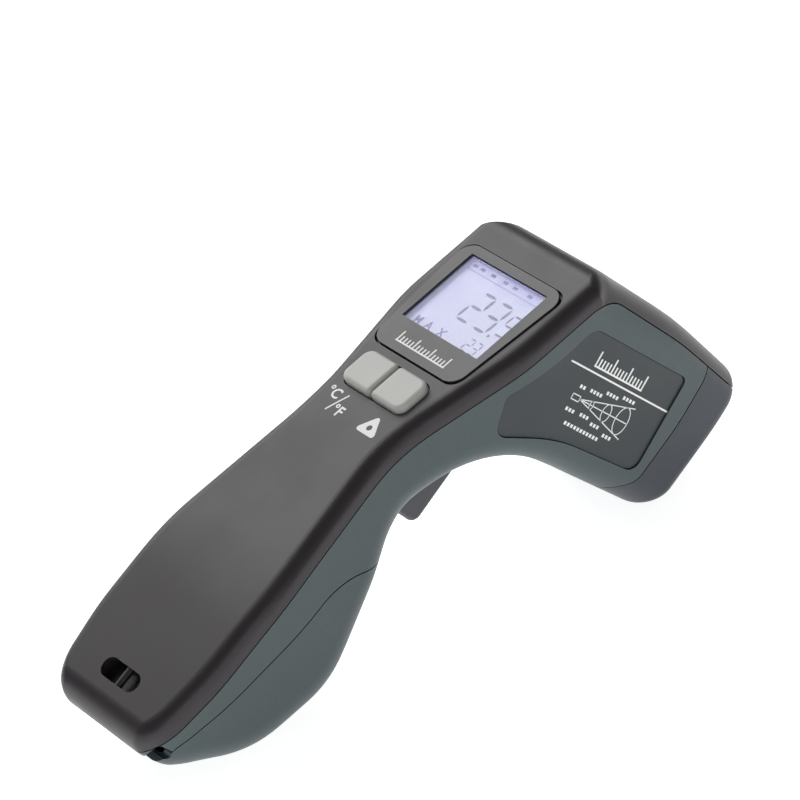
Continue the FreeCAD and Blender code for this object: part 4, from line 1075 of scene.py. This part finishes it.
@dataclass
class Studio:
    """The pale floor, soft lights and the camera."""

    floor_half: float = 3.0
    distance: float = 1.1038
    lens: float = 225.0
    view: tuple[float, float, float] = (-0.4198, -0.7065, 0.5697)
    side: tuple[float, float, float] = (0.7803, -0.6010, -0.1709)
    shift: Point = (16.78, 20.09)

    def build_floor(self) -> None:
        """Lays the floor, with a faintly mottled matt finish."""
        mesh = bpy.data.meshes.new("studio_floor")
        reach = self.floor_half
        mesh.from_pydata([(-reach, -reach, -0.0002), (reach, -reach, -0.0002), (reach, reach, -0.0002),
                          (-reach, reach, -0.0002)], [], [(0, 1, 2, 3)])
        floor = bpy.data.objects.new("studio_floor", mesh)
        bpy.context.scene.collection.objects.link(floor)
        material = bpy.data.materials.new("studio_paper")
        material.use_nodes = True
        tree = material.node_tree
        shader = next(node for node in tree.nodes if node.type == "BSDF_PRINCIPLED")
        place = add(tree, "ShaderNodeTexCoord").outputs["Object"]
        tone = spread(tree, noise(tree, place, 60.0, 3.0), 0.3, 0.7, 0.93, 0.95)
        colour = add(tree, "ShaderNodeCombineColor", {}, {0: tone, 1: tone, 2: tone})
        link(tree, colour.outputs[0], shader.inputs["Base Color"])
        shader.inputs["Roughness"].default_value = 0.9
        shader.inputs["Specular IOR Level"].default_value = 0.1
        link(tree, colour.outputs[0], shader.inputs["Emission Color"])
        shader.inputs["Emission Strength"].default_value = 0.88
        mesh.materials.append(material)

    def build_lights(self) -> None:
        """Sets the soft lights and the pale surroundings."""
        world = bpy.data.worlds.new("studio_world")
        world.use_nodes = True
        tree = world.node_tree
        background = tree.nodes["Background"]
        background.inputs["Color"].default_value = (1.0, 1.0, 1.0, 1.0)
        seen = add(tree, "ShaderNodeLightPath").outputs["Is Camera Ray"]
        link(tree, spread(tree, seen, 0.0, 1.0, 0.18, 1.0), background.inputs["Strength"])
        bpy.context.scene.world = world
        lights = [
            ("back_high", (0.18, 1.0, 1.0), (1.3, 1.5), 21.0),
            ("front_low", (-0.45, -1.35, 0.35), (1.2, 0.6), 4.0),
        ]
        for name, place, size, power in lights:
            data = bpy.data.lights.new(name, "AREA")
            data.shape = "RECTANGLE"
            data.size, data.size_y = size
            data.energy = power
            lamp = bpy.data.objects.new(name, data)
            lamp.location = place
            lamp.rotation_euler = (-Vector(place)).to_track_quat("-Z", "Y").to_euler()
            bpy.context.scene.collection.objects.link(lamp)

    def build_camera(self) -> None:
        """Sets the camera by its view direction and the side that its right edge looks along."""
        back = Vector(self.view).normalized()
        right = Vector(self.side)
        right = (right - back * right.dot(back)).normalized()
        up = back.cross(right)
        data = bpy.data.cameras.new("camera")
        data.lens = self.lens
        data.clip_start, data.clip_end = 0.05, 20.0
        camera = bpy.data.objects.new("camera", data)
        camera.location = (FACE.origin + back * self.distance - right * self.shift[0] * MM
                           - up * self.shift[1] * MM)
        camera.rotation_mode = "QUATERNION"
        camera.rotation_quaternion = Matrix((right, up, back)).transposed().to_quaternion()
        bpy.context.scene.collection.objects.link(camera)
        bpy.context.scene.camera = camera

    def build(self) -> None:
        """Builds the whole studio."""
        self.build_floor()
        self.build_lights()
        self.build_camera()
        bpy.context.scene.view_settings.view_transform = "Standard"


def write_sizes() -> None:
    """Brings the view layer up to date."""
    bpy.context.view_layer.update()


def main() -> None:
    """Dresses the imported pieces, adds the prints and the reading, and sets the studio."""
    logging.basicConfig(level=logging.INFO, format="%(message)s")
    paints = Paints()
    Casing(paints).dress()
    Reading(paints).build()
    FaceMarks(paints).build()
    for side in Side:
        SideLabel(paints, side).build()
    Studio().build()
    write_sizes()


if __name__ == "__main__":
    main()
